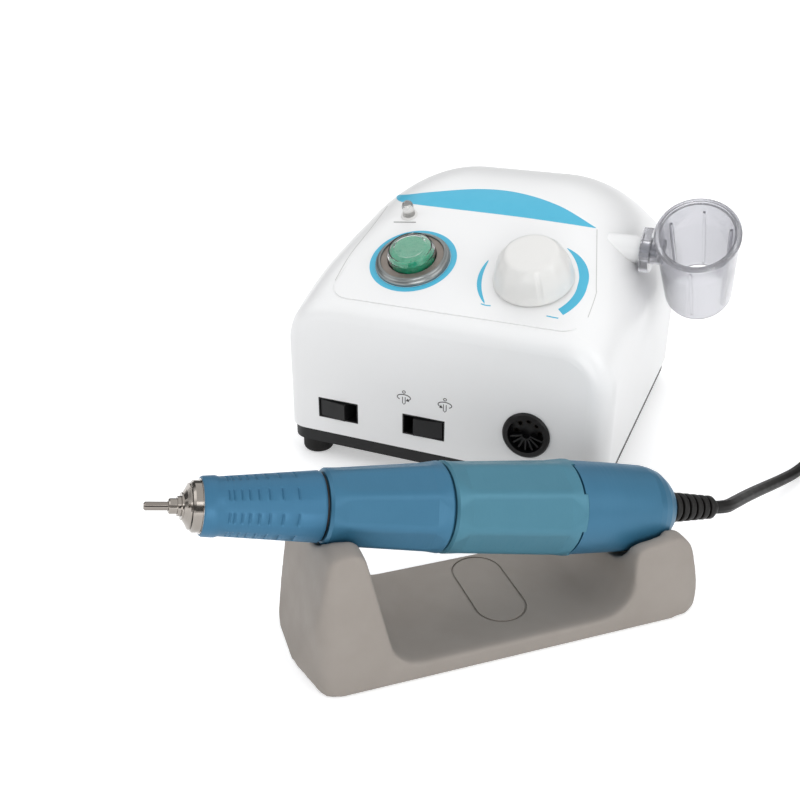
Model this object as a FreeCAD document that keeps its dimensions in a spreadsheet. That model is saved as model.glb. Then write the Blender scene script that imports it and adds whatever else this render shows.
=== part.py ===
import FreeCAD, Part
import math
import os
import Sketcher

# Dental micromotor: a control unit with a tool cup on its side, a handpiece with a speed
# collet on a loose cradle in front of it, and the handpiece's cord with its plug.
# The origin is the centre of the control unit's footprint on the table, X to the right,
# Y to the back, Z up, all in millimetres.

vec = FreeCAD.Vector
SEGMENT = Part.LineSegment

# Driving dimensions, written into the spreadsheet one below the other.
DIMENSIONS = [
    # control unit, outer form
    ("case_width", 131.0), ("case_depth", 150.0), ("case_wall", 2.5),
    ("seam_height", 13.4), ("panel_foot", 67.0), ("panel_slope", 26.25),
    ("panel_share", 0.4), ("dome_share", 0.46), ("rear_roof_share", 0.24),
    ("front_corner", 8.5), ("rear_corner", 20.0), ("front_shoulder", 20.0),
    ("panel_shoulder", 22.0), ("shoulder_spot", 22.0), ("dome_shoulder_share", 0.2533),
    ("roof_shoulder_share", 0.2267),
    # tray, feet and their screws
    ("tray_bottom", 7.8), ("tray_inset", 1.0), ("tray_floor", 2.5), ("tray_tongue", 3.0),
    ("tongue_wall", 2.0), ("foot_radius", 6.25), ("foot_inset", 9.4), ("foot_recess", 3.2),
    ("foot_web", 4.6), ("post_radius", 4.0), ("screw_radius", 1.5), ("screw_length", 17.0),
    ("screw_head_radius", 2.8), ("screw_head_height", 1.8), ("thread_fit", 0.03),
    ("fit", 0.1), ("running_fit", 0.05), ("seat", 0.05), ("body_gap", 0.3),
    # operating panel
    ("line_left", -47.9), ("line_left_top", -43.3), ("line_right", 51.8),
    ("line_right_bend", 49.6), ("line_right_top", 41.6), ("line_bend", 30.0),
    ("line_low", 6.0), ("line_high", 62.0), ("line_top", 77.0),
    ("line_corner", 7.5), ("line_width", 0.8), ("line_depth", 0.4),
    ("button_x", -21.3), ("button_rise", 30.9), ("bezel_radius", 14.8), ("bezel_height", 2.7),
    ("bezel_bore", 12.4), ("bezel_sleeve", 0.9), ("bezel_depth", 8.0),
    ("switch_face", 2.0), ("switch_depth", 22.0), ("switch_clear", 2.0),
    ("cover_radius", 9.4), ("cover_top", 7.6), ("cover_wall", 0.8), ("cover_round", 3.0),
    ("cap_top", 5.6), ("cap_stem", 3.0), ("cap_foot", 11.5), ("button_travel", 2.5),
    ("led_x", -32.6), ("led_rise", 56.2), ("led_radius", 2.4), ("led_top", 7.0),
    ("led_holder_radius", 3.2), ("led_holder_rim", 0.6), ("led_depth", 5.0),
    ("knob_x", 27.7), ("knob_rise", 29.5), ("knob_base", 15.0), ("knob_waist", 14.4),
    ("knob_shoulder", 13.0), ("knob_top", 9.2), ("knob_height", 13.0), ("knob_shoulder_drop", 3.6),
    ("knob_brow", 2.2),
    ("knob_lift", 0.6), ("knob_wall", 2.2), ("knob_hub", 5.0),
    ("knob_hollow", 9.0), ("shaft_radius", 3.0), ("shaft_flat", 0.8), ("shaft_length", 17.0),
    ("bush_radius", 4.5), ("bush_height", 6.0), ("pot_radius", 8.5), ("pot_height", 9.0),
    ("nut_radius", 7.0), ("nut_height", 2.4), ("flute_count", 12.0), ("flute_radius", 5.0),
    ("flute_depth", 0.05), ("flute_foot", 1.6),
    # rocker switches in the front wall
    ("slot_width", 17.5), ("slot_height", 8.65), ("slot_middle", 24.15),
    ("hand_slot_side", 24.0), ("slot_pitch", 36.6), ("collar_wall", 0.45),
    ("housing_depth", 17.0), ("housing_wall", 1.5), ("rocker_width", 11.4),
    ("rocker_reach", 12.4), ("rocker_pivot", 11.5), ("rocker_tilt", 9.5),
    ("rocker_hub", 3.2), ("pin_radius", 1.0),
    # handpiece socket in the front wall
    ("socket_side", 29.7), ("socket_z", 29.55), ("socket_radius", 9.0), ("socket_rim", 1.0),
    ("insulator_radius", 6.7), ("socket_depth", 12.0), ("socket_sink", 2.5),
    ("contact_circle", 4.4), ("contact_bore", 0.75), ("contact_wall", 0.35),
    ("contact_count", 5.0), ("contact_step", 45.0),
    # inside the unit
    ("board_length", 92.0), ("board_width", 46.0), ("board_thick", 1.6), ("board_x", -2.0),
    ("board_y", -26.0), ("standoff_height", 5.0), ("standoff_radius", 3.5),
    ("board_screw_radius", 1.2), ("capacitor_radius", 8.0), ("capacitor_height", 26.0),
    ("sink_length", 28.0), ("sink_height", 24.0), ("chip_height", 6.0),
    ("core_length", 58.0), ("core_height", 48.0), ("core_thick", 30.0), ("core_leg", 10.0),
    ("core_x", -20.0), ("core_rear", 45.0), ("winding_gap", 0.3), ("winding_reach", 8.0),
    ("core_pad", 3.0), ("core_screw_radius", 1.8),
    ("inlet_side", 27.5), ("inlet_z", 34.0), ("inlet_width", 27.0), ("inlet_height", 20.0),
    ("inlet_flange", 2.0), ("inlet_rim", 3.0), ("inlet_depth", 20.0), ("inlet_well", 16.0),
    ("blade_width", 4.0), ("blade_thick", 2.0), ("blade_spread", 7.0),
    ("fuse_x", 8.0), ("fuse_z", 32.0), ("fuse_radius", 6.5), ("fuse_depth", 28.0),
    ("fuse_cap_radius", 7.5), ("fuse_cap_height", 5.0), ("fuse_bore", 3.0),
    ("jack_x", -22.0), ("jack_z", 30.0), ("jack_radius", 5.0), ("jack_bore", 3.2),
    ("jack_depth", 20.0), ("jack_nut", 7.0), ("jack_nut_height", 2.0),
    # tool cup
    ("clip_y", -15.0), ("clip_z", 86.0), ("clip_radius", 8.6), ("clip_stand", -1.5),
    ("clip_sink", 18.5), ("clip_bore", 2.6), ("clip_disc", 3.5), ("clip_stem", 4.5),
    ("clip_boss", 5.2), ("cup_reach", 15.5), ("cup_tilt", 45.0),
    ("cup_rim_height", 16.0), ("cup_length", 44.4), ("cup_rim_radius", 15.3),
    ("cup_waist_radius", 14.3), ("cup_waist", 14.0), ("cup_foot_radius", 13.0),
    ("cup_wall", 1.5), ("cup_rim_thick", 2.4), ("cup_rib_count", 6.0), ("cup_rib", 0.9),
    ("arm_radius", 5.0), ("pin_length", 15.0),
    # handpiece, distances from the tip of the bur along its axis
    ("tip_x", -27.4), ("tip_y", -210.6), ("tip_z", 61.2), ("piece_turn", 42.5),
    ("piece_dip", 11.6), ("bur_radius", 1.175), ("bur_length", 44.5), ("bur_point", 0.4),
    ("collet_start", 6.3), ("collet_radius", 2.1), ("collet_step", 8.5),
    ("collet_collar", 2.7), ("collet_end", 40.0), ("collet_slit", 0.35),
    ("cone_start", 9.5), ("cone_front", 3.7), ("cone_radius", 6.2), ("cone_end", 11.6),
    ("spindle_radius", 4.0), ("spindle_end", 82.0),
    ("nose_start", 11.9), ("nose_radius", 7.0), ("nose_end", 14.3), ("nose_bore", 4.6),
    ("bearing_radius", 6.5), ("bearing_width", 5.0), ("bearing_front", 16.0),
    ("bearing_back", 60.0), ("barrel_radius", 7.4), ("barrel_end", 84.0),
    ("sleeve_start", 14.5), ("sleeve_lip", 8.05), ("sleeve_collar", 8.25),
    ("sleeve_neck", 7.97), ("sleeve_end", 46.9), ("sleeve_rear", 10.0),
    ("ridge_count", 8.0), ("ridge_height", 0.22), ("ridge_first", 21.5), ("ridge_pitch", 3.0),
    ("seal_width", 0.55), ("seal_radius", 9.5),
    ("twist_start", 47.75), ("twist_front", 10.8), ("twist_rear", 13.4), ("twist_end", 83.2),
    ("twist_corner", 4.0), ("facet_count", 8.0), ("facet_fade", 5.0), ("rim_flat", 0.3),
    ("housing_start", 83.6), ("housing_front", 13.55), ("housing_rear", 14.85),
    ("housing_end", 125.2), ("housing_bore", 12.0), ("housing_neck", 9.2),
    ("tooth_depth", 1.3), ("tooth_fit", 0.15), ("tooth_gap", 0.9),
    ("magnet_outer", 11.9), ("magnet_inner", 9.6), ("magnet_start", 90.0),
    ("magnet_end", 116.0), ("magnet_angle", 140.0), ("armature_radius", 9.2),
    ("armature_start", 92.0), ("armature_end", 114.0), ("shaft_end", 140.0),
    ("motor_shaft", 2.0), ("pole_count", 5.0), ("pole_slot", 1.6), ("pole_depth", 3.2),
    ("commutator_radius", 3.6), ("commutator_start", 118.0), ("commutator_end", 126.0),
    ("brush_size", 3.0), ("brush_length", 6.0), ("brush_case", 1.0),
    ("bearing_rear", 133.0), ("rear_bearing_width", 4.0),
    ("cap_front", 14.45), ("cap_waist", 138.8), ("cap_waist_radius", 14.04),
    ("cap_back", 152.3), ("cap_back_radius", 13.35), ("cap_shoulder", 157.2),
    ("cap_shoulder_radius", 12.0), ("cap_neck", 161.4), ("cap_neck_radius", 8.7),
    ("cap_end", 164.2), ("cap_end_radius", 5.0), ("cap_wall", 1.6), ("cap_bore", 3.4),
    ("relief_radius", 4.38), ("relief_end", 182.7), ("relief_tail", 3.0),
    ("relief_rib_count", 6.0), ("relief_groove", 0.7),
    # cradle, along and across the handpiece's course over the table
    ("cradle_start", 36.0), ("cradle_end", 167.5), ("cradle_near", -20.0),
    ("cradle_far", 26.0), ("cradle_corner", 9.0), ("cradle_bend", -1.0), ("cradle_cut", 5.3),
    ("front_rest_height", 46.8), ("front_rest_edge", 53.7), ("front_rest_foot", 63.0),
    ("front_lean", 8.15), ("scoop_floor", 6.0), ("scoop_bend", 10.0), ("rest_round", 4.0),
    ("rear_rest_wall", 138.9), ("rear_rest_height", 31.4), ("rear_rest_top", 156.0),
    ("groove_gap", 0.3), ("deboss_depth", 0.5), ("deboss_width", 1.0),
    ("deboss_length", 35.0), ("deboss_height", 17.0), ("deboss_middle", 102.0),
    ("deboss_across", 6.5),
    # cord, its coil and its plug
    ("cord_radius", 2.2), ("coil_turns", 8.5), ("coil_inner", 14.7), ("coil_pitch", 5.2),
    ("coil_layer", 5.1), ("coil_tail", 12.0),
    ("plug_radius", 7.3), ("plug_length", 34.0), ("plug_taper", 4.0), ("plug_bore", 6.4),
    ("plug_face", 8.0), ("plug_pin_radius", 0.7), ("plug_pin_length", 14.0),
    ("skirt_length", 16.0), ("skirt_wall", 0.5),
]

doc = FreeCAD.newDocument("dental_micromotor")
sheet = doc.addObject("Spreadsheet::Sheet", "Sizes")
for row, (alias, amount) in enumerate(DIMENSIONS, start=1):
    sheet.set("A%d" % row, alias)
    sheet.set("B%d" % row, "%g" % amount)
    sheet.setAlias("B%d" % row, alias)
doc.recompute()


class Size:
    """A size of the sheet, or a sum of such sizes, with its value and its expression."""

    def __init__(self, value, text):
        self.value = value
        self.text = text

    def joined(self, other, sign, value, swapped=False):
        word = other.text if isinstance(other, Size) else "%.6g" % other
        left, right = (word, self.text) if swapped else (self.text, word)
        return Size(value, "(%s %s %s)" % (left, sign, right))

    def __add__(self, other):
        return self.joined(other, "+", self.value + number(other))

    def __radd__(self, other):
        return self.joined(other, "+", self.value + number(other), True)

    def __sub__(self, other):
        return self.joined(other, "-", self.value - number(other))

    def __rsub__(self, other):
        return self.joined(other, "-", number(other) - self.value, True)

    def __mul__(self, other):
        return self.joined(other, "*", self.value * number(other))

    def __rmul__(self, other):
        return self.joined(other, "*", self.value * number(other), True)

    def __truediv__(self, other):
        return self.joined(other, "/", self.value / number(other))

    def __neg__(self):
        return Size(-self.value, "(-%s)" % self.text)


class Names:
    """A plain holder of named values."""


def number(size):
    return size.value if isinstance(size, Size) else float(size)


bound = Names()
num = Names()
for alias, amount in DIMENSIONS:
    setattr(bound, alias, Size(float(sheet.get(alias)), "Sizes." + alias))
    setattr(num, alias, float(sheet.get(alias)))

# Places and roundings that follow from the casing's width and depth.
side, rear = bound.case_width / 2, bound.case_depth / 2
for alias, size in (
        ("panel_reach", bound.case_depth * bound.panel_share),
        ("dome_radius", bound.case_depth * bound.dome_share),
        ("rear_roof_radius", bound.case_depth * bound.rear_roof_share),
        ("dome_shoulder", bound.case_depth * bound.dome_shoulder_share),
        ("roof_shoulder", bound.case_depth * bound.roof_shoulder_share),
        ("hand_slot_x", bound.hand_slot_side - side),
        ("turn_slot_x", bound.hand_slot_side + bound.slot_pitch - side),
        ("socket_x", side - bound.socket_side), ("inlet_x", side - bound.inlet_side),
        ("core_y", rear - bound.core_rear), ("clip_face", side + bound.clip_stand),
        ("clip_root", side - bound.clip_sink), ("cup_x", side + bound.cup_reach)):
    setattr(bound, alias, size)
    setattr(num, alias, size.value)

NODES = []


def bind(obj, prop, size):
    """Bind one property to its size, as an expression where it comes from the sheet."""
    if isinstance(size, Size):
        obj.setExpression(prop, size.text)
    else:
        setattr(obj, prop, size)


def keep(obj, label, place=None):
    """Name a finished sub-part, place it and put it on the list of nodes."""
    obj.Label = label
    if place is not None:
        obj.Placement = place
    NODES.append(obj)
    return obj


def shift(obj, x=0.0, y=0.0, z=0.0):
    """Move a primitive to a corner or centre given in sizes."""
    start = vec(number(x), number(y), number(z))
    obj.Placement = FreeCAD.Placement(start, obj.Placement.Rotation)
    for axis, size in (("x", x), ("y", y), ("z", z)):
        if isinstance(size, Size):
            obj.setExpression("Placement.Base." + axis, size.text)
    return obj


def rod(radius, height, x=0.0, y=0.0, z=0.0, turn=None):
    """A cylinder along Z, or along the direction that turn gives it."""
    obj = doc.addObject("Part::Cylinder", "rod")
    bind(obj, "Radius", radius)
    bind(obj, "Height", height)
    if turn is not None:
        obj.Placement = FreeCAD.Placement(vec(), turn)
    return shift(obj, x, y, z)


def block(length, width, height, x=0.0, y=0.0, z=0.0):
    """A box whose middle in X and Y and whose foot in Z are given."""
    obj = doc.addObject("Part::Box", "block")
    bind(obj, "Length", length)
    bind(obj, "Width", width)
    bind(obj, "Height", height)
    return shift(obj, x - length / 2, y - width / 2, z)


def solid(shape, name="form"):
    """A document object around a shape worked out from the sheet's sizes."""
    obj = doc.addObject("Part::Feature", name)
    obj.Shape = shape
    return obj


def fuse(pieces):
    obj = doc.addObject("Part::MultiFuse", "joined")
    obj.Shapes = pieces
    return obj


def cut(base, tools):
    obj = doc.addObject("Part::Cut", "cut")
    obj.Base = base
    obj.Tool = tools[0] if len(tools) == 1 else fuse(tools)
    return obj


def common(first, second):
    obj = doc.addObject("Part::Common", "shared")
    obj.Base = first
    obj.Tool = second
    return obj


def group(pieces):
    """Several loose solids that share one node."""
    obj = doc.addObject("Part::Compound", "group")
    obj.Links = pieces
    return obj


def turned(name, outline):
    """A body turned about Z from an outline of (radius, height) points."""
    body = doc.addObject("PartDesign::Body", name)
    sketch = body.newObject("Sketcher::SketchObject", name + "_outline")
    upright = [one for one in body.Origin.OriginFeatures if one.Role == "XZ_Plane"][0]
    sketch.AttachmentSupport = [(upright, "")]
    sketch.MapMode = "FlatFace"
    points = [vec(number(radius), number(height), 0) for radius, height in outline]
    count = len(points)
    for index in range(count):
        sketch.addGeometry(SEGMENT(points[index], points[(index + 1) % count]), False)
    for index in range(count):
        following = (index + 1) % count
        sketch.addConstraint(Sketcher.Constraint("Coincident", index, 2, following, 1))
    for index, (radius, height) in enumerate(outline):
        pin_point(sketch, index, "DistanceX", radius, -2)
        pin_point(sketch, index, "DistanceY", height, -1)
    revolution = body.newObject("PartDesign::Revolution", name + "_turned")
    revolution.Profile = sketch
    revolution.ReferenceAxis = (sketch, ["V_Axis"])
    revolution.Angle = 360
    sketch.Visibility = False
    return body


def pin_point(sketch, index, kind, size, axis):
    """Fix one coordinate of a sketch point, on the axis where it is zero."""
    if number(size) == 0.0 and not isinstance(size, Size):
        sketch.addConstraint(Sketcher.Constraint("PointOnObject", index, 1, axis))
        return
    place = sketch.addConstraint(Sketcher.Constraint(kind, -1, 1, index, 1, number(size)))
    if isinstance(size, Size):
        sketch.setExpression("Constraints[%d]" % place, size.text)


def ring(name, inner, outer, start, end):
    """A plain turned ring between two radii and two heights."""
    return turned(name, [(inner, start), (outer, start), (outer, end), (inner, end)])


# Frames of the tilted groups of pieces.
slope = math.radians(num.panel_slope)
front_y = -num.case_depth / 2
rear_y = num.case_depth / 2
ALONG_X = FreeCAD.Rotation(vec(0, 1, 0), 90)
ALONG_Y = FreeCAD.Rotation(vec(1, 0, 0), -90)


def on_panel(x, rise, lift=0.0):
    """Frame on the operating panel, Z out of the panel, at a rise up the slope."""
    base = vec(x, front_y + rise * math.cos(slope), num.panel_foot + rise * math.sin(slope))
    out = vec(0, -math.sin(slope), math.cos(slope))
    return FreeCAD.Placement(base + out * lift, FreeCAD.Rotation(vec(1, 0, 0), num.panel_slope))


turn = math.radians(num.piece_turn)
dip = math.radians(num.piece_dip)
course = vec(math.cos(turn), math.sin(turn), 0)
across = vec(-math.sin(turn), math.cos(turn), 0)
piece_axis = course * math.cos(dip) - vec(0, 0, math.sin(dip))
bur_tip = vec(num.tip_x, num.tip_y, num.tip_z)
piece_place = FreeCAD.Placement(
    bur_tip, FreeCAD.Rotation(across, piece_axis.cross(across), piece_axis, "ZXY"))
cradle_place = FreeCAD.Placement(
    vec(num.tip_x, num.tip_y, 0), FreeCAD.Rotation(vec(0, 0, 1), num.piece_turn))
cup_place = FreeCAD.Placement(
    vec(num.cup_x, num.clip_y, num.clip_z), FreeCAD.Rotation(vec(1, 0, 0), num.cup_tilt))


# The casing's outer form: half of a side outline of panel, dome and rear roof, pulled
# sideways, its shoulder rounded with a radius that grows from the front to the dome, its
# front face's rim rounded after that, and the other half mirrored.
def case_block(inset):
    """The right half of the unrounded casing drawn in by inset, and its outline's points."""
    lean = vec(0, -math.sin(slope), math.cos(slope))
    front = front_y + inset
    rear = rear_y - inset

    def on_slope(run):
        """The point of the panel's line at a run behind the casing's front."""
        height = num.panel_foot + run * math.tan(slope) - inset / math.cos(slope)
        return vec(0, front_y + run, height)

    marks = Names()
    marks.panel_start = on_slope(inset)
    marks.panel_spot = on_slope(num.shoulder_spot)
    end = vec(0, front_y + num.panel_reach,
              num.panel_foot + num.panel_reach * math.tan(slope))
    dome_centre = end - lean * num.dome_radius
    dome = num.dome_radius - inset
    roof = num.rear_roof_radius - inset
    roof_y = rear - roof
    rise = math.sqrt((dome - roof) ** 2 - (roof_y - dome_centre.y) ** 2)
    roof_centre = vec(0, roof_y, dome_centre.z + rise)
    outward = (roof_centre - dome_centre).normalize()
    marks.panel_end = dome_centre + lean * dome
    marks.dome_end = dome_centre + outward * dome
    marks.roof_end = vec(0, rear, roof_centre.z)
    dome_bend = (lean + outward).normalize()
    roof_bend = (outward + vec(0, 1, 0)).normalize()
    low_front = vec(0, front, num.seam_height)
    low_rear = vec(0, rear, num.seam_height)
    edges = [
        SEGMENT(low_front, marks.panel_start),
        SEGMENT(marks.panel_start, marks.panel_spot),
        SEGMENT(marks.panel_spot, marks.panel_end),
        Part.Arc(marks.panel_end, dome_centre + dome_bend * dome, marks.dome_end),
        Part.Arc(marks.dome_end, roof_centre + roof_bend * roof, marks.roof_end),
        SEGMENT(marks.roof_end, low_rear),
        SEGMENT(low_rear, low_front),
    ]
    face = Part.Face(Part.Wire([edge.toShape() for edge in edges]))
    return face.extrude(vec(num.case_width / 2 - inset, 0, 0)), marks


def shoulder_at(point, marks, inset):
    """The rounding of the side edge at one point of its chain."""
    for mark, radius in ((marks.panel_start, num.front_shoulder),
                         (marks.panel_spot, num.panel_shoulder),
                         (marks.panel_end, num.dome_shoulder),
                         (marks.dome_end, num.roof_shoulder)):
        if abs(point.y - mark.y) + abs(point.z - mark.z) < 0.01:
            return radius - inset
    return num.rear_corner - inset


def case_form(inset):
    """The rounded casing form drawn in by inset."""
    shape, marks = case_block(inset)
    side = num.case_width / 2 - inset
    front = front_y + inset
    chain = []
    for place, edge in enumerate(shape.Edges, start=1):
        box = edge.BoundBox
        inward = box.XMin < side - 0.01
        foot = box.ZMax < num.seam_height + 0.01
        if inward or foot or box.YMax < front + 0.01:
            continue
        radii = [shoulder_at(end.Point, marks, inset) for end in edge.Vertexes]
        chain.append((place, radii[0], radii[1]))
    rounded = doc.addObject("Part::Fillet", "case_shoulder")
    rounded.Base = solid(shape, "case_block")
    rounded.Edges = chain
    doc.recompute()
    corner = num.front_corner - inset
    rim = []
    for place, edge in enumerate(rounded.Shape.Edges, start=1):
        box = edge.BoundBox
        foot = box.ZMax < num.seam_height + 0.01
        if box.YMax < front + 0.01 and not foot and box.XMax > 0.01:
            rim.append((place, corner, corner))
    half = doc.addObject("Part::Fillet", "case_half")
    half.Base = rounded
    half.Edges = rim
    other = doc.addObject("Part::Mirroring", "case_other_half")
    other.Source = half
    other.Normal = vec(1, 0, 0)
    whole = fuse([half, other])
    whole.Refine = True
    return whole


def plan_outline(inset):
    """The casing's plan drawn in by inset, as a face at height zero."""
    half = num.case_width / 2 - inset
    front, rear = front_y + inset, rear_y - inset
    near, far = num.front_corner - inset, num.rear_corner - inset
    return soft_face([(-half, front, near), (half, front, near), (half, rear, far),
                      (-half, rear, far)])


def plan_slab(inset, start, end):
    slab = plan_outline(inset).extrude(vec(0, 0, end - start))
    slab.translate(vec(0, 0, start))
    return slab


def soft_face(corners):
    """A face in the XY plane from (x, y, radius) corners, each rounded by its radius."""
    edges = []
    ends = []
    count = len(corners)
    for index in range(count):
        x, y, radius = corners[index]
        spot = vec(x, y, 0)
        back = vec(corners[index - 1][0], corners[index - 1][1], 0) - spot
        ahead = vec(corners[(index + 1) % count][0], corners[(index + 1) % count][1], 0) - spot
        back.normalize()
        ahead.normalize()
        if radius == 0:
            ends.append((spot, spot))
            continue
        half = back.getAngle(ahead) / 2
        trim = radius / math.tan(half)
        middle = (back + ahead).normalize()
        top = spot + middle * (radius / math.sin(half) - radius)
        ends.append((spot + back * trim, spot + ahead * trim))
        edges.append(Part.Arc(ends[-1][0], top, ends[-1][1]).toShape())
    for index in range(count):
        first, second = ends[index][1], ends[(index + 1) % count][0]
        if (second - first).Length > 0.001:
            edges.append(SEGMENT(first, second).toShape())
    return Part.Face(Part.Wire(Part.__sortEdges__(edges)))


def rounded_frame(left, right, low, high, corner):
    """A rectangular face with four alike round corners in the XY plane."""
    return soft_face([(left, low, corner), (right, low, corner), (right, high, corner),
                      (left, high, corner)])


FOOT_X = bound.case_width / 2 - bound.foot_inset
FOOT_Y = bound.case_depth / 2 - bound.foot_inset
CORNERS = [(FOOT_X * sign_x, FOOT_Y * sign_y) for sign_x in (-1, 1) for sign_y in (-1, 1)]


# Control unit: casing, tray, feet and screws
def build_casing():
    outer = case_form(0.0)
    inner = case_form(num.case_wall)
    posts = [rod(bound.post_radius, bound.panel_foot * 1.5, x, y,
                 bound.seam_height + bound.body_gap) for x, y in CORNERS]
    inside_posts = common(fuse(posts), outer)
    boss = rod(bound.clip_boss, bound.clip_face - bound.clip_disc - bound.seat - bound.clip_root,
               bound.clip_root, bound.clip_y, bound.clip_z, ALONG_X)
    shell = fuse([cut(fuse([outer, boss]), [inner]), inside_posts])
    bores = [rod(bound.screw_radius + bound.thread_fit, bound.screw_length, x, y,
                 bound.seam_height - bound.seat) for x, y in CORNERS]
    return keep(cut(shell, bores + casing_openings()), "upper_casing")


def casing_openings():
    """Everything that is cut out of the casing for the pieces that it carries."""
    deep = 40.0
    tools = []
    for x, rise, radius in (
            (num.button_x, num.button_rise, num.bezel_bore + num.bezel_sleeve + num.fit),
            (num.led_x, num.led_rise, num.led_radius + num.led_holder_rim + num.fit),
            (num.knob_x, num.knob_rise, num.bush_radius + num.fit)):
        hole = Part.makeCylinder(radius, deep, vec(0, 0, -deep / 2))
        hole.Placement = on_panel(x, rise)
        tools.append(solid(hole, "panel_hole"))
    tools.append(solid(panel_line(), "panel_line"))
    through = bound.case_wall * 4
    for x in (bound.hand_slot_x, bound.turn_slot_x):
        tools.append(block(bound.slot_width, through, bound.slot_height, x,
                           -bound.case_depth / 2, bound.slot_middle - bound.slot_height / 2))
    tools.append(rod(bound.socket_radius - bound.socket_rim + bound.fit, through,
                     bound.socket_x, -bound.case_depth / 2 - bound.case_wall,
                     bound.socket_z, ALONG_Y))
    back = bound.case_depth / 2 - bound.case_wall * 2
    tools.append(block(bound.inlet_width + bound.fit * 2, through,
                       bound.inlet_height + bound.fit * 2, bound.inlet_x,
                       bound.case_depth / 2,
                       bound.inlet_z - bound.inlet_height / 2 - bound.fit))
    tools.append(rod(bound.fuse_radius + bound.fit, through, bound.fuse_x, back,
                     bound.fuse_z, ALONG_Y))
    tools.append(rod(bound.jack_radius + bound.fit, through, bound.jack_x, back,
                     bound.jack_z, ALONG_Y))
    tools.append(rod(bound.clip_stem + bound.fit, bound.case_width / 2,
                     bound.clip_root - bound.seat, bound.clip_y, bound.clip_z, ALONG_X))
    tools.append(rod(bound.clip_radius + bound.fit, bound.case_width / 2,
                     bound.clip_face - bound.clip_disc - bound.seat,
                     bound.clip_y, bound.clip_z, ALONG_X))
    return tools


def panel_line():
    """The fine line engraved round the operating panel, open under the printed arch."""
    wide = num.line_width / 2
    bend_radius = num.line_bend * 2

    def course(inset):
        return soft_face([
            (num.line_left + inset, num.line_low + inset, num.line_corner - inset),
            (num.line_right - inset, num.line_low + inset, num.line_corner - inset),
            (num.line_right_bend - inset, num.line_bend, bend_radius),
            (num.line_right_top - inset, num.line_top, 0),
            (num.line_left_top + inset, num.line_top, 0)])

    line = course(-wide).cut(course(wide)).extrude(vec(0, 0, num.line_depth * 2))
    line.translate(vec(0, 0, -num.line_depth))
    span = num.line_right - num.line_left
    limit = Part.makeBox(span * 2, num.line_high, num.line_depth * 4,
                         vec(num.line_left - span / 2, 0, -num.line_depth * 2))
    line = line.common(limit)
    line.Placement = on_panel(0, 0)
    return line


def build_tray():
    start, seam = num.tray_bottom, num.seam_height
    hollow = num.case_wall + num.body_gap + num.tongue_wall
    body = plan_slab(num.tray_inset, start, seam)
    tongue = plan_slab(num.case_wall + num.body_gap, seam, seam + num.tray_tongue)
    inside = plan_slab(hollow, start + num.tray_floor, seam + num.tray_tongue + 1)
    tray = solid(body.fuse(tongue).cut(inside), "tray_form")
    floor = bound.tray_bottom + bound.tray_floor
    lift = bound.seam_height + bound.body_gap - bound.seat - floor
    pads = [rod(bound.post_radius, lift, x, y, floor) for x, y in CORNERS]
    pads += [rod(bound.standoff_radius, bound.standoff_height, x, y, floor)
             for x, y in board_corners()]
    core_y, core_x = bound.core_y, bound.core_x
    pads.append(block(bound.core_length + bound.core_leg * 2, bound.core_thick, bound.core_pad,
                      core_x, core_y, floor))
    holes = [rod(bound.screw_radius + bound.fit, bound.seam_height, x, y, bound.tray_bottom
                 - bound.fit) for x, y in CORNERS]
    holes += [rod(bound.board_screw_radius + bound.thread_fit, bound.standoff_height, x, y,
                  floor + bound.fit) for x, y in board_corners()]
    holes += [rod(bound.core_screw_radius + bound.thread_fit, bound.core_pad, x, core_y,
                  floor + bound.fit) for x in core_screws()]
    recess = [rod(bound.post_radius + bound.body_gap, bound.tray_tongue * 3, x, y,
                  bound.seam_height + bound.body_gap - bound.seat) for x, y in CORNERS]
    return keep(cut(fuse([tray] + pads), holes + recess), "base_tray")


def board_corners():
    reach_x = bound.board_length / 2 - bound.standoff_radius
    reach_y = bound.board_width / 2 - bound.standoff_radius
    return [(bound.board_x + reach_x * sign_x, bound.board_y + reach_y * sign_y)
            for sign_x in (-1, 1) for sign_y in (-1, 1)]


def core_screws():
    reach = bound.core_length / 2 + bound.core_leg / 2
    return [bound.core_x - reach, bound.core_x + reach]


def build_feet():
    pieces = []
    for x, y in CORNERS:
        foot = rod(bound.foot_radius, bound.tray_bottom, x, y)
        hole = rod(bound.screw_radius + bound.fit, bound.tray_bottom, x, y)
        recess = rod(bound.foot_recess, bound.foot_web, x, y)
        hollow = cut(foot, [fuse([hole, recess])])
        rounded = doc.addObject("Part::Fillet", "foot")
        rounded.Base = hollow
        doc.recompute()
        low = [index for index, edge in enumerate(hollow.Shape.Edges, start=1)
               if edge.BoundBox.ZMax < 0.01 and edge.BoundBox.XLength > num.foot_radius * 1.9]
        rounded.Edges = [(index, num.foot_radius * 0.35, num.foot_radius * 0.35)
                         for index in low]
        pieces.append(rounded)
    keep(group(pieces), "rubber_feet")
    screws = []
    for x, y in CORNERS:
        head = rod(bound.screw_head_radius, bound.screw_head_height, x, y,
                   bound.foot_web - bound.screw_head_height)
        shank = rod(bound.screw_radius, bound.screw_length, x, y, bound.foot_web)
        drive = block(bound.screw_radius * 2.4, bound.screw_radius * 0.5,
                      bound.screw_head_height * 0.5, x, y,
                      bound.foot_web - bound.screw_head_height)
        screws.append(cut(fuse([head, shank]), [drive]))
    keep(group(screws), "base_screws")


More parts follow.
